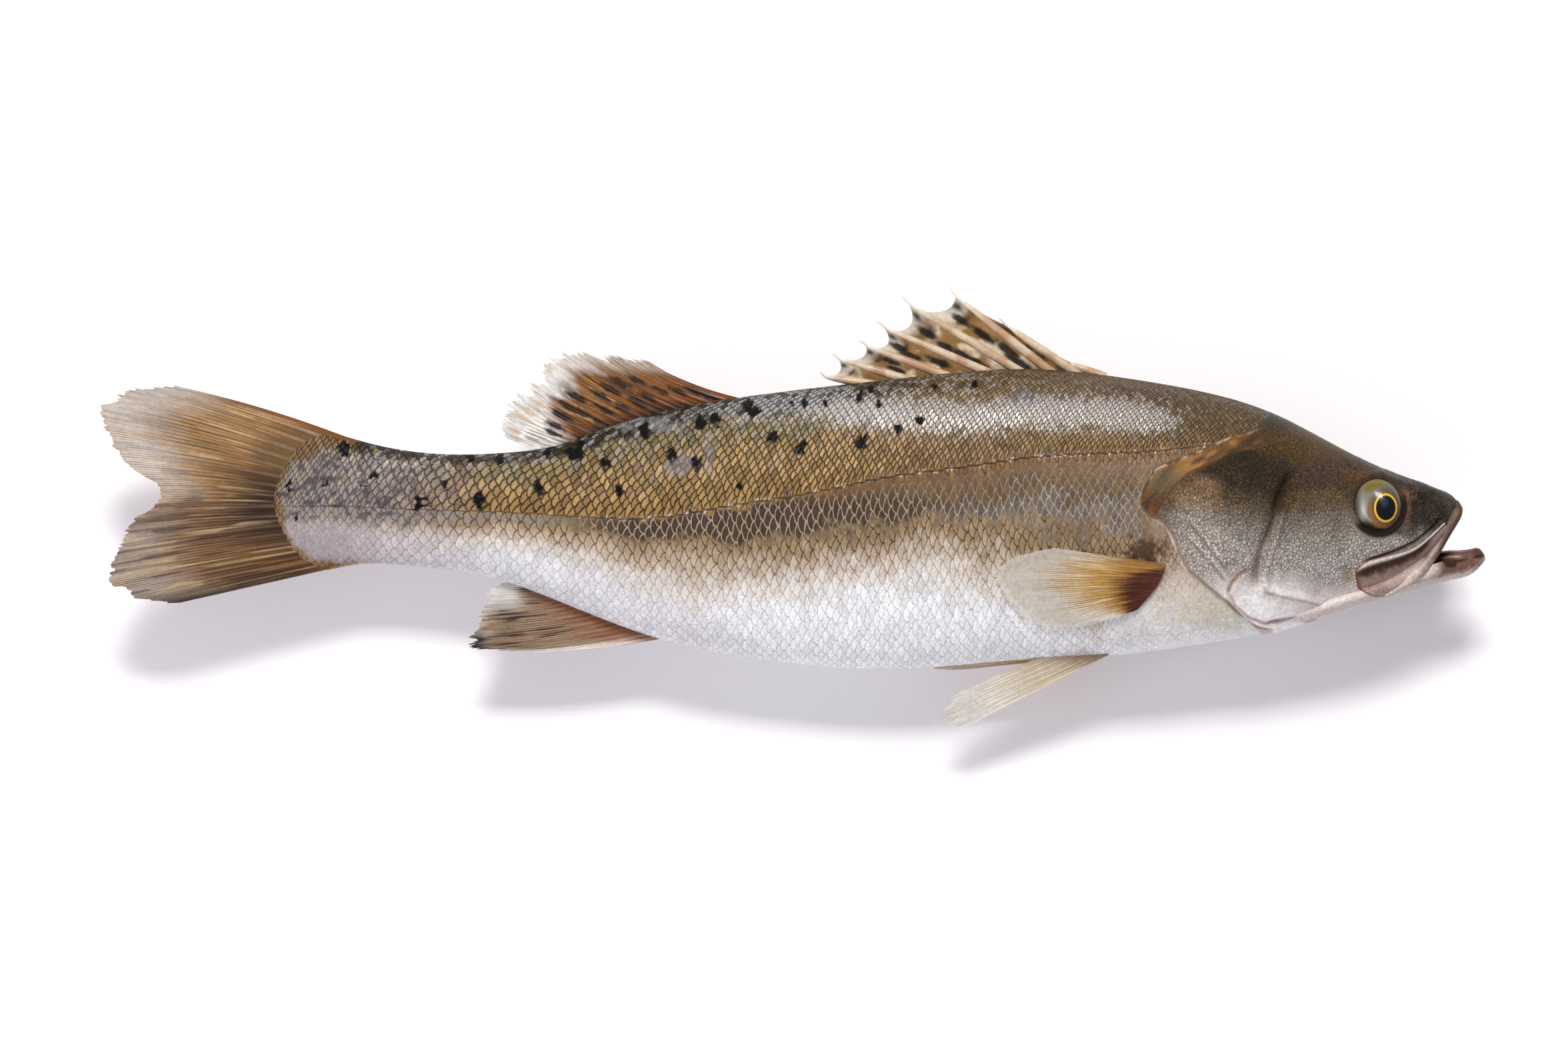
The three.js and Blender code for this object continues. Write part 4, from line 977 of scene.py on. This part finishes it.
def cheekAt(x, y):
    # The outer surface of the mouth's side: the head's skin or the lower jaw's, whichever stands out further.
    inHead = np.minimum(x, 287)
    skin = skinAt(inHead, np.clip(y, bellyAt(inHead) + 1.5, 90))
    middle, half = (rimAt(x) + underAt(x)) / 2, (rimAt(x) - underAt(x)) / 2
    up = np.clip((y - middle) / np.maximum(half, 0.3), -1, 1)
    up = np.sign(up) * np.abs(up) ** 1.25
    return np.maximum(skin, jawWidthAt(x) * (1 + 0.12 * up) * (1 - up ** 2) ** 0.4)


def makeUpperJawBone():
    # The maxilla: a long paddle that lies along the upper jaw and widens to its rear end.
    upper = track([(0, 281.5, -4.6), (0.25, 272, -12.9), (0.5, 264.4, -16.8), (0.75, 253.2, -19.6),
                   (0.92, 245.2, -22.8), (1, 242.4, -26)])
    lower = track([(0, 284, -8.6), (0.25, 275.4, -21), (0.5, 268.4, -28), (0.75, 259, -35), (0.9, 251, -36.6),
                   (1, 244, -32.8)])
    steps, rows = jaw["boneGrid"]
    share, across = np.linspace(0, 1, steps)[:, None], np.linspace(0, 1, rows)[None]
    (ux, uy), (lx, ly) = upper(share), lower(share)
    x, y = ux + (lx - ux) * across, uy + (ly - uy) * across
    skin = cheekAt(x, y)
    rise = 1.7 - 0.8 * across + 0.7 * bump(across, 0.1, 0.09) - 0.4 * bump(across, 0.28, 0.1) \
        + 0.2 * bump(across, 0.62, 0.1)
    z = skin + rise * (1 - 0.3 * share)
    top, bottom = np.stack([x, y, z], -1), np.stack([x, y, np.maximum(z - 3.2, 0.4)], -1)
    stain = speckled(x, y, 3, 8) + speckled(x, y, 1.2, 9)
    tint = flat("#a38c82", x)
    tint = layered(tint, [
        ("#ccb6ac", fade(across + 0.06 * stain, 0.5, 0.85) * fade(share, 0.2, 0.5) * 0.6),
        ("#3f281c", fade(across, 0.1, 0.17) * fade(across + 0.07 * stain, 0.56, 0.28)
         * fade(share, 0.1, 0.25)),
        ("#8a6c5f", fade(np.hypot((x - 252) / 6, (y + 33) / 3), 1.2, 0.5) * 0.5),
        # painted highlight along the bone's raised upper edge
        ("#e4dcd8", bump(across, 0.06, 0.06) * fade(share, 1, 0.9)),
        ("#7d5142", bump(across, 0, 0.04) + bump(share, 1, 0.04) + bump(across, 1, 0.06) * 0.8)])
    look = np.stack([0.25 + 0 * x, 0.15 + 0 * x, 0.3 + 0 * x], -1)
    return slab(top, bottom, [tint, tint * 0.5, look], np.stack([x, y], -1) / 10)


def makeLip():
    # The premaxilla: the rounded rim of the upper jaw, from the snout's tip back to the corner of the mouth.
    run = track([(0, 287, 4.4), (0.12, 287.6, 0.6), (0.28, 284.8, -5), (0.46, 280.2, -13), (0.62, 276, -19.8),
                 (0.78, 269.6, -26.6), (0.9, 262.8, -32), (1, 256, -36)])
    share = np.linspace(0, 1, jaw["lipSteps"])
    x, y = run(share)
    smooth = np.convolve(np.pad(cheekAt(x, y), 12, mode="edge"), np.full(25, 1 / 25), "valid")
    z = smooth * fade(share, -0.15, 0.2) + 0.4
    path = np.stack([x, y, z], -1)

    def colours(px, py, along, facing):
        stain = speckled(px, py, 2.4, 10)
        tint = flat("#886f63", px)
        tint = layered(tint, [
            ("#3f2f29", fade(along + 0.1 * stain, 0.16, 0.08)),
            ("#5f463a", fade(along, 0.7, 0.2) * 0.7),
            ("#c9b5ab", fade(along + 0.1 * stain, 0.6, 0.84)),
            ("#4f3a30", bump(facing, -0.55, 0.2) * fade(along, 0.75, 0.5) * 0.9),
            # painted highlight on the lip's side towards the light
            ("#cdbdb5", bump(facing, 0.3, 0.3) * fade(along, 0.2, 0.7) * 0.4)])
        return [tint, tint * 0.6, np.stack([0.2 + 0 * px, 0.15 + 0 * px, 0.2 + 0 * px], -1)]
    wide = np.interp(share, *np.transpose(jaw["lipRadius"]))
    return tube(path, wide, wide * 0.8, colours, jaw["lipAround"])


def makeLowerJaw():
    # A trough that narrows to the chin. Its right rim lies lower than its left one, so the mouth shows.
    rear, fore = jaw["stations"]
    x1 = np.concatenate([np.linspace(198, 262, rear), np.linspace(262, 299.8, fore)[1:]])[:, None]
    turn = np.linspace(0, 2 * np.pi, jaw["around"], endpoint=False)[None]
    up, out = np.cos(turn), np.sin(turn)
    middle, half = (rimAt(x1) + underAt(x1)) / 2, np.maximum(rimAt(x1) - underAt(x1), 0.3) / 2
    y = middle + half * np.sign(up) * np.abs(up) ** 0.8
    z = jawWidthAt(x1) * (1 + 0.12 * up) * np.sign(out) * np.abs(out) ** 0.8
    x = x1 + 0 * turn
    opened = fade(x, 262, 276) * fade(x, 299.6, 294)
    across = z / jawWidthAt(x1)
    top = fade(up, 0.1, 0.7)
    y = y - opened * top * (5.5 * fade(across, 0.1, 0.6) + 4.5 * bump(across, 0, 0.45))
    y = y + opened * top * 0.5 * np.sin(across * 14) * bump(across, 0, 0.5)
    stain = speckled(x, y, 4, 11) + 0.6 * speckled(x, y, 1.6, 12)
    tint = flat("#d3c5be", x)
    tint = paint(tint, "#e0d3cc", fade(y - underAt(x1), 1, 4))
    patch = fade(x + stain, 275, 282) * fade(y - underAt(x1), 1.5, 3.5)
    tint = layered(tint, [
        ("#74574a", patch * fade(stain, -0.8, -0.5)),
        ("#3f2a1c", patch * fade(stain + 0.5 * bump(y, -19.5, 1), -0.05, 0.25)),
        ("#9c7868", fade(x, 293, 298) * fade(y, -19, -22)),
        ("#2b1f1c", fade(x, 292.5, 295.5) * fade(y, -20, -17.5) * 0.95)])
    # Inside the mouth: brown lining painted dark as shade in the trough, darkest further back, with pale
    # ridges.
    inside = opened * top * fade(across, 0.6, 0.4)
    tint = layered(tint, [
        ("#6b4b43", inside),
        ("#d6bdb5", inside * bump(np.sin(across * 9 + 0.4), 1, 0.4) * fade(x, 276, 284) * fade(x, 291, 287)),
        ("#2b1b19", inside * fade(x, 290, 280)),
        ("#7a4a3c", opened * bump(y, -15.4, 0.7) * 0.8),
        ("#a98a80", bump(y - underAt(x1), 3.2, 0.5) * fade(x, 296, 290) * fade(x, 250, 262) * 0.6)])
    look = np.stack([0.15 + 0 * x, 0.14 + 0 * x, 0.3 + 0 * x], -1)
    return loft(x, y, z, [tint, tint * 0.55, look], np.stack([x, y], -1) / 10)


# root and tip hold (share, x, y) from a fin's first ray to its last; bow is how far the rays curve, thick
# the thickness at root and edge, taper how fast it thins, ragged the depth of the torn edge, and off the
# distance from the plane of symmetry.
fins = {
    "tail": {
        "root": [(0, -188, 30.4), (0.25, -209, 19), (0.5, -212, 5), (0.75, -209, -9), (1, -188, -22)],
        "tip": [(0, -268, 54.8), (0.08, -281, 54.2), (0.16, -293, 50.8), (0.22, -299.4, 45),
                (0.28, -298.6, 38), (0.36, -293, 26.5), (0.43, -284, 16.6), (0.5, -274.4, 7.6),
                (0.56, -283, -0.6), (0.64, -290.5, -10.2), (0.73, -295.5, -20), (0.81, -297, -26.8),
                (0.88, -292.3, -33.4), (0.94, -282, -38.2), (1, -266, -39.6)],
        "bow": lambda share: -1.8 * np.cos(np.pi * share / 2), "rays": 17, "thick": (6, 1),
        "grid": (300, 150), "ragged": 0.035, "taper": 3,
        "off": lambda x, y, share, along: 2.2 * ((x + 224.4) / 76) ** 2 * np.sin((y - 4) / 22)},
    "rearBack": {
        "root": [(0, -16, 48), (0.25, -38, 44), (0.5, -61, 38.6), (0.75, -83, 31.6), (1, -101, 26)],
        "tip": [(0, -66, 66.8), (0.12, -77, 68.6), (0.25, -89, 69.4), (0.4, -103, 69.6),
                (0.5, -109.6, 65.6), (0.62, -115, 58.6), (0.75, -121.4, 52.6), (0.88, -128.6, 42),
                (0.95, -129.4, 37.2), (1, -126, 32.4)],
        "bow": lambda share: 2.4 - 1.4 * share, "rays": 13, "thick": (3, 0.9),
        "grid": (260, 120), "ragged": 0.13, "taper": 1.5,
        "off": lambda x, y, share, along: 0 * x},
    "anal": {
        "root": [(0, -52, -54), (0.3, -70, -46.6), (0.6, -88, -39.6), (1, -104, -31.6)],
        "tip": [(0, -118, -60.8), (0.12, -132, -60.4), (0.24, -142, -58.6), (0.4, -139, -52.6),
                (0.6, -136.4, -45), (0.8, -134, -37.6), (0.92, -131, -32.4), (1, -124, -30.4)],
        "bow": lambda share: 1.8 * (1 - share), "rays": 10, "thick": (3.2, 1),
        "grid": (180, 110), "ragged": 0.06, "taper": 1.5,
        "off": lambda x, y, share, along: 0 * x},
    "rightPelvic": {
        "root": [(0, 137, -62), (0.5, 129, -59), (1, 118, -57)],
        "tip": [(0, 71, -95.6), (0.3, 60.6, -92), (0.6, 66, -85), (0.85, 73, -77.4), (1, 88, -72.6)],
        "bow": lambda share: 0 * share, "rays": 7, "thick": (3.4, 1), "grid": (110, 90), "ragged": 0.08,
        "taper": 1.5, "colours": ("#cdbfa6", "#f6f2ea"), "rootDark": 0.8,
        "off": lambda x, y, share, along: 5 - 0.35 * np.maximum(0, -62 - y)},
    "leftPelvic": {
        "root": [(0, 137, -62), (0.5, 129, -59), (1, 118, -57)],
        "tip": [(0, 72, -68.8), (0.3, 61, -68.2), (0.6, 62, -64), (1, 76, -59)],
        "bow": lambda share: 0 * share, "rays": 7, "thick": (3.4, 1), "grid": (110, 90), "ragged": 0.03,
        # Painted light: this fin is painted far paler than its own orange-tan, to show through the shade
        # under the belly.
        "taper": 1.5, "colours": ("#ffc088", "#fbe3cc"), "rootDark": 0.2,
        "off": lambda x, y, share, along: -np.maximum(5, skinAt(x, y) + 1.2)},
    "pectoral": {
        "root": [(0, 160.6, -22.4), (0.5, 157, -31.6), (1, 148.4, -42.4)],
        "tip": [(0, 112, -15.4), (0.1, 101, -17.4), (0.22, 90.4, -21.4), (0.34, 86.6, -27), (0.46, 89, -33.4),
                (0.6, 94, -41), (0.72, 102, -47.4), (0.86, 116, -50.4), (1, 131, -48.4)],
        "bow": lambda share: 0 * share, "rays": 13, "thick": (1.8, 0.8), "grid": (200, 120), "ragged": 0.03,
        "taper": 1.5, "off": lambda x, y, share, along: skinAt(x, y) + 0.5 + 1.8 * along},
}


def finColours(name, x, share, along):
    # Tint, line colour and look (line strength, opacity) of each fin.
    patchy = speckled(share * 200, along * 40, 9, 20) + 0.6 * speckled(share * 200, along * 40, 4, 21)
    streaky = speckled(share * 260, along * 12, 3, 27)
    lines, alpha = 0.75 + 0 * x, 1 + 0 * x
    if name == "tail":
        pale = fade(along + 0.08 * patchy + 0.1 * streaky, 0.5, 0.94)
        tint = paint(flat("#9d7446", x), "#cdc1b6", pale * fade(share, 0.62, 0.42))
        tint = layered(tint, [
            ("#74512f", fade(share, 0.42, 0.62) * 0.9),
            ("#a39488", fade(share, 0.5, 0.68) * pale)])
        middle = fade(along + 0.1 * patchy + 0.1 * streaky, 0.7, 0.25) * bump(share, 0.56, 0.2)
        tint = layered(tint, [
            ("#2b190a", middle * 0.95 + 0.25 * fade(along + 0.1 * patchy, 0.34, 0.12)),
            ("#3a281a", fade(streaky, 0.08, 0.26) * (0.35 + 0.45 * fade(share, 0.35, 0.65))
             * (1 - 0.2 * pale)),
            ("#dcc39b", fade(streaky, -0.2, -0.36) * 0.4)])
        root = fade(along + 0.06 * patchy, 0.36, 0.2)
        tint = layered(tint, [
            ("#6f5330", root * fade(share, 0.42, 0.25) * 0.95),
            ("#2e1e10", root * bump(share, 0.55, 0.24) * 0.8),
            ("#7a4a1e", fade(share, 0.06, 0.0) * fade(along, 0.95, 0.6) * 0.9),
            ("#221710", fade(share, 0.9, 1) * fade(along, 0.1, 0.4) * 0.9)])
        net = paint(flat("#3a260f", x), "#857567", pale * fade(share, 0.6, 0.4))
        lines = 0.35 + 0.45 * fade(along, 0.15, 0.45)
        alpha = 1 - 0.15 * fade(along, 0.85, 1)
    elif name == "rearBack":
        pale = fade(along + 0.16 * patchy - 0.3 * fade(share, 0.55, 0.1), 0.56, 0.88) \
            + fade(share + 0.3 * along, 0.84, 1.0)
        tint = paint(flat("#855420", x), "#f4f0ec", pale)
        tint = layered(tint, [
            ("#8a4a14", fade(along + 0.7 * share, 0.8, 0.4) * 0.9),
            ("#26140a", fade(along + 0.1 * patchy, 0.3, 0.08) * (1 - 0.8 * fade(share, 0.8, 1))
             * fade(share, 0.06, 0.3)),
            ("#c9b49c", fade(along + 0.1 * streaky, 0.62, 0.9) * fade(share, 0.5, 0.2) * 0.85),
            ("#c7a76e", fade(streaky, -0.15, -0.35) * fade(along, 0.15, 0.4) * fade(share, 0.15, 0.45)
             * 0.6),
            ("#2c180a", fade(streaky, 0.1, 0.3) * fade(along, 0.95, 0.6) * 0.65),
            ("#8f6718", fade(along, 0.06, 0.0) * 0.8)])
        net = paint(flat("#33200f", x), "#9c8f84", pale)
        alpha = 1 - 0.4 * fade(along, 0.6, 1)
    elif name == "anal":
        rear = fade(share, 0.55, 0.85) * fade(along, 0.45, 0.75)
        front = fade(share, 0.14, 0.04) + fade(along + 0.2 * patchy, 0.85, 1) * 0.5
        tint = paint(flat("#8f775e", x), "#e6ddd0", front)
        tint = layered(tint, [
            ("#f0ebe6", rear * 0.9),
            ("#2d221a", fade(streaky + 0.4 * patchy, 0.12, 0.35) * fade(along, 0.15, 0.5)
             * fade(share, 0.05, 0.12) * (1 - rear)),
            ("#1c1410", fade(along, 0.88, 0.97) * fade(share, 0.5, 0.3) * fade(share, 0.1, 0.2)),
            ("#8a4a26", fade(along + 0.1 * patchy, 0.55, 0.1) * 0.7)])
        net = paint(flat("#33261d", x), "#8c7f74", rear)
        alpha = 1 - 0.3 * rear
    elif name == "pectoral":
        pale = fade(along + 0.1 * patchy + 0.16 * streaky + 0.3 * fade(share, 0.5, 1), 0.4, 0.9)
        tint = paint(flat("#bd9450", x), "#f4f0e8", pale)
        tint = layered(tint, [
            ("#9a6a28", fade(along, 0.44, 0.2) * 0.75),
            ("#f0e6cc", fade(streaky, -0.12, -0.3) * fade(along, 0.25, 0.4) * 0.6),
            ("#8a5a28", fade(share, 0.14, 0.04) * fade(along, 0.7, 0.3) * 0.6)])
        base = fade(along + 0.08 * patchy + 0.05 * streaky + 0.26 * fade(share, 0.4, 0), 0.3, 0.17)
        tint = paint(paint(tint, "#4a2013", base), "#6f4026", base * fade(streaky, 0.1, 0.3) * 0.8)
        net = paint(paint(flat("#7a5223", x), "#bda77c", fade(along, 0.5, 0.9)), "#2a120a", base)
        lines = 0.75 - 0.1 * fade(along, 0.4, 0.8)
        alpha = 1 - 0.7 * fade(along, 0.4, 0.95)
    else:
        rootColour, tipColour = fins[name]["colours"]
        tint = paint(flat(rootColour, x), tipColour, fade(along + 0.1 * streaky, 0.3, 0.9))
        tint = paint(tint, "#8a6a54", fade(along + 0.1 * patchy, 0.3, 0.05) * fins[name]["rootDark"])
        net = flat("#9a8a6c", x)
        alpha = 1 - 0.3 * fade(along, 0.6, 1)
    return tint, net, np.stack(np.broadcast_arrays(lines, alpha, 0 * x), -1)


finSpots = {
    "rearBack": [(-74, 55.8, 2.2), (-79, 53.2, 2), (-83.6, 50.6, 2), (-94, 50, 2), (-62.6, 49.7, 1.8),
                 (-66.9, 47.3, 2), (-73, 45, 2), (-81.6, 44.5, 2), (-90, 42.5, 2), (-96.9, 45.4, 1.8),
                 (-99.2, 41.3, 1.8), (-102.4, 37.3, 1.8), (-103.3, 34.1, 1.6), (-83.3, 38.7, 1.6),
                 (-56.5, 52.2, 1.6), (-67.2, 56.9, 1.6), (-50, 52.6, 1.8), (-42.4, 52.4, 1.8),
                 (-36, 50, 1.8)],
    "spiny": [(73, 83.2, 2), (83.1, 76.6, 2.4), (93.2, 70.4, 2.6), (96, 66.4, 2.2), (99.6, 64, 2.4),
              (66.1, 71.8, 2.2), (74.4, 67.6, 2.4), (81.7, 63.6, 2.4), (64, 64.9, 2.2), (58.6, 77.7, 2.2),
              (66.6, 71.7, 2), (46.4, 71.4, 2), (52.2, 67.6, 2), (63.4, 64.7, 2), (43.2, 65.3, 1.8),
              (45.5, 61.5, 1.8)],
}


def spotted(tint, net, x, y, wayX, wayY, places, colour):
    # Dark spots drawn out along the rays; way is the rays' direction at each point.
    dark = np.zeros(x.shape)
    for spotX, spotY, size in places:
        dx, dy = x - spotX, y - spotY
        along, across = dx * wayX + dy * wayY, dx * wayY - dy * wayX
        far = np.hypot(along / 2.6, across * 1.4) + 0.9 * speckled(x, y, 1.5, 22) \
            + 0.7 * speckled(x, y, 3, 54)
        dark = np.maximum(dark, fade(far, size * 1.42, size * 0.6))
    return paint(tint, colour, dark * 0.96), paint(net, colour, dark * 0.96)


def makeFin(name):
    # A plate from the root line to the tip line along the rays, with the rays as ridges and a ragged edge.
    fin = fins[name]
    shares, steps = fin["grid"]
    share, along = np.linspace(0, 1, shares)[:, None], np.linspace(0, 1, steps)[None]
    (rootX, rootY), (tipX, tipY) = track(fin["root"])(share), track(fin["tip"])(share)
    rayX, rayY = tipX - rootX, tipY - rootY
    rays = fin["rays"]
    noisy = lambda times, seed: mottle(share * rays * times, 0 * share + 3.5, seed) - 0.5
    fringe = noisy(1.3, 23) * 0.9 + noisy(4, 28) * 0.9 + noisy(11, 29) * 0.7 + 0.5
    reach = along * (1 - fin["ragged"] * np.maximum(fringe, 0) * 1.6 * fade(along, 0.5, 1))
    length = np.hypot(rayX, rayY)
    bow = fin["bow"](share) * 4 * along * (1 - along)
    x = rootX + rayX * reach - rayY / length * bow
    y = rootY + rayY * reach + rayX / length * bow
    off = fin["off"](x, y, share, along)
    forks = [np.abs(np.cos(np.pi * share * (rays - 1) * times)) ** 2 for times in (1, 2, 4)]
    ridge = forks[0] * fade(along, 0.6, 0.4) * fade(along, 0.02, 0.2) \
        + forks[1] * fade(along, 0.4, 0.6) * fade(along, 0.85, 0.7) + forks[2] * fade(along, 0.7, 0.85)
    rootThick, edgeThick = fin["thick"]
    half = (rootThick * (1 - along) ** fin["taper"] + edgeThick) / 2 * (0.84 + 0.16 * ridge)
    half = half * (0.25 + 0.75 * fade(along, 1, 0.93))
    tint, net, look = finColours(name, x, share, along)
    if name in finSpots:
        tint, net = spotted(tint, net, x, y, rayX / length, rayY / length, finSpots[name], "#1d0d03")
    top, bottom = np.stack([x, y, off + half], -1), np.stack([x, y, off - half], -1)
    uv = np.stack([share * (rays - 1) + 0 * along, along + 0 * share], -1)
    return slab(top, bottom, [tint, net, look], uv)


spines = {
    "lines": [((136, 58.4), (119, 64.8)), ((126, 58.4), (90.4, 82.6)), ((115, 58.6), (68.6, 95.5)),
              ((102, 59), (48, 91.8)), ((90, 58.4), (37, 81.3)), ((74, 56.4), (29.6, 72.9)),
              ((56, 55.6), (18, 66.9)), ((40, 54.4), (12.4, 59))],
    "radius": [(0, 2.1), (0.5, 1.9), (0.8, 1.3), (1, 0.3)],  # by share of a spine's length
    "hook": 1.6,             # how far a long spine's tip bends
    "steps": 60, "around": 14,
    "skinGrid": (70, 40), "skin": 0.5,  # half the thickness of the skin
}


def makeSpinyFin():
    # Eight hard spines folded back, with skin hung from each spine to the next.
    parts = []
    for root, tip in spines["lines"]:
        (x0, y0), (x1, y1) = root, tip
        share = np.linspace(0, 1, spines["steps"])
        hook = spines["hook"] * fade(share, 0.9, 1) * (x1 < 100)
        path = np.stack([x0 + (x1 - x0) * share - hook * 0.3, y0 + (y1 - y0) * share + hook, 0 * share], -1)
        thick = np.interp(share, *np.transpose(spines["radius"]))

        def colours(px, py, along, facing):
            tint = flat("#d3bea2", px)
            tint = layered(tint, [
                ("#b07f5e", fade(speckled(px, py, 6, 24), -0.1, 0.3) * fade(along, 0.85, 0.6) * 0.7),
                ("#efe8dc", fade(along, 0.75, 0.95))])
            return [tint, tint * 0.6, np.stack([0.2 + 0 * px, 1 + 0 * px, 0 * px], -1)]
        parts.append(tube(path, thick, thick, colours, spines["around"]))
    rows, columns = spines["skinGrid"]
    for (root, tip), (rootNext, tipNext) in zip(spines["lines"][:-1], spines["lines"][1:]):
        out, back = np.linspace(0, 1, rows)[:, None], np.linspace(0, 1, columns)[None]
        along = lambda start, end, t: [start[i] + (end[i] - start[i]) * t for i in (0, 1)]
        (fx, fy), (rx, ry) = along(root, tip, out * 0.95), along(rootNext, tipNext, out * 0.86)
        sag = 0.3 * out * back * (1 - back)
        x = fx + (rx - fx) * back + (root[0] - tip[0]) * sag
        y = fy + (ry - fy) * back + (root[1] - tip[1]) * sag
        patchy = speckled(x, y, 7, 25) + 0.5 * speckled(x, y, 2.5, 26)
        tint = flat("#8a6838", x)
        tint = layered(tint, [
            ("#d8c8ab", fade(patchy + 0.5 * back, 0.1, 0.5)),
            ("#4a3018", fade(out, 0.2, 0.02) * 0.8),
            ("#1f1108", bump((x - 126) * 0.562 + (y - 58.4) * 0.827, -2.6, 1.6) * fade(out, 0.98, 0.8)
             * 0.95),
            ("#a8794a", fade(speckled(x, y, 3, 55), 0.05, 0.3) * 0.5),
            ("#e0d6c8", fade(out + 0.1 * patchy, 0.82, 0.95) * 0.8),
            ("#140a05", bump(back + 0.08 * patchy, 0.22, 0.14) * bump(out, 0.96, 0.06)),
            ("#3a2416", bump(back, 0.45, 0.3) * bump(out + 0.05 * patchy, 0.82, 0.035) * 0.9)])
        length = np.hypot(tip[0] - root[0], tip[1] - root[1])
        wayX, wayY = (tip[0] - root[0]) / length + 0 * x, (tip[1] - root[1]) / length + 0 * x
        tint, net = spotted(tint, tint * 0.6, x, y, wayX, wayY, finSpots["spiny"], "#0e0703")
        look = np.stack([0.3 + 0 * x, 0.98 - 0.08 * fade(out, 0.7, 1) + 0 * x, 0 * x], -1)
        fold = 0.5 * np.sin(back * np.pi * 2) * out
        top, bottom = [np.stack([x, y, fold + side * spines["skin"] + 0 * x], -1) for side in (1, -1)]
        parts.append(slab(top, bottom, [tint, net, look], np.stack([back * 3 + 0 * out, out + 0 * back], -1)))
    return parts


view = {"lens": 200, "sensor": 36, "frameWidth": 679.7, "middle": (-3.58, -4.62), "plane": 40, "clipEnd": 20}
sheet = {"half": 4.0, "below": 0.0002, "colour": "#f7f5f7"}
room = {"colour": "#f7f4fb", "strength": 0.36}


def makeCamera():
    # Looks straight down from the distance at which the frame is frameWidth wide at the height of plane.
    camera = bpy.data.objects.new("camera", bpy.data.cameras.new("camera"))
    bpy.context.scene.collection.objects.link(camera)
    camera.data.lens, camera.data.sensor_width = view["lens"], view["sensor"]
    camera.data.clip_end = view["clipEnd"]
    middleX, middleY = view["middle"]
    spot = toFrame(np.array(middleX), np.array(middleY), 0.0)
    distance = view["frameWidth"] * view["lens"] / view["sensor"] / 1000
    camera.location = (spot[0], spot[1], view["plane"] / 1000 + distance)
    bpy.context.scene.camera = camera


def makeFloor():
    # A wide sheet of satin white acrylic: bright, with a faint blurred reflection.
    material = newMaterial("satinWhiteAcrylic", {
        "Base Color": (*linear(sheet["colour"]), 1), "Roughness": 0.35, "Specular IOR Level": 0.35})[0]
    mesh = bpy.data.meshes.new("floor")
    half = sheet["half"]
    corners = [(-half, -half, 0), (half, -half, 0), (half, half, 0), (-half, half, 0)]
    mesh.from_pydata(corners, [], [(0, 1, 2, 3)])
    mesh.materials.append(material)
    floor = bpy.data.objects.new("floor", mesh)
    floor.location.z = -sheet["below"]
    bpy.context.scene.collection.objects.link(floor)


lights = [
    {"name": "softbox", "place": (0.02, 2.0, 2.6), "size": (1.25, 0.75), "power": 114, "colour": "#fffefc"},
    {"name": "bellyFill", "place": (-1.35, -1.05, 0.85), "size": (1.8, 0.9), "power": 29,
     "colour": "#fbf9ff"},
]


def makeLights():
    # Two soft boxes aimed at the fish, in an evenly lit white room.
    for light in lights:
        data = bpy.data.lights.new(light["name"], "AREA")
        data.shape, (data.size, data.size_y) = "RECTANGLE", light["size"]
        data.energy, data.color = light["power"], linear(light["colour"])
        lamp = bpy.data.objects.new(light["name"], data)
        lamp.location = light["place"]
        aim = -lamp.location
        lamp.rotation_euler = aim.to_track_quat("-Z", "Y").to_euler()
        bpy.context.scene.collection.objects.link(lamp)
    world = bpy.data.worlds.new("studio")
    world.use_nodes = True
    world.node_tree.nodes["Background"].inputs["Color"].default_value = (*linear(room["colour"]), 1)
    world.node_tree.nodes["Background"].inputs["Strength"].default_value = room["strength"]
    bpy.context.scene.world = world
    bpy.context.scene.view_settings.view_transform = "Standard"


print("camera, floor and lights")
makeCamera()
makeFloor()
makeLights()
print("body")
scaledSkin, headSkin, eyeSurface = wetScaledSkin(), wetHeadSkin(), clearWetEye()
half = makeTrunkHalf()
makePiece("rightTrunk", [half], scaledSkin)
makePiece("leftTrunk", [mirrored(half)], scaledSkin)
makePiece("head", [makeHead()], headSkin)
makePiece("lowerJaw", [makeLowerJaw()], headSkin)
jawBone, lip, eyeball = makeUpperJawBone(), makeLip(), makeEye()
makePiece("upperJaw", [jawBone, mirrored(jawBone), lip, mirrored(lip)], headSkin)
makePiece("rightEye", [eyeball], eyeSurface)
makePiece("leftEye", [mirrored(eyeball)], eyeSurface)
print("fins")
finMaterial = wetFinSkin()
for name in ("tail", "rearBack", "anal", "rightPelvic", "leftPelvic"):
    makePiece(name, [makeFin(name)], finMaterial)
pectoral = makeFin("pectoral")
makePiece("rightPectoral", [pectoral], finMaterial)
makePiece("leftPectoral", [mirrored(pectoral)], finMaterial)
makePiece("spiny", makeSpinyFin(), finMaterial)
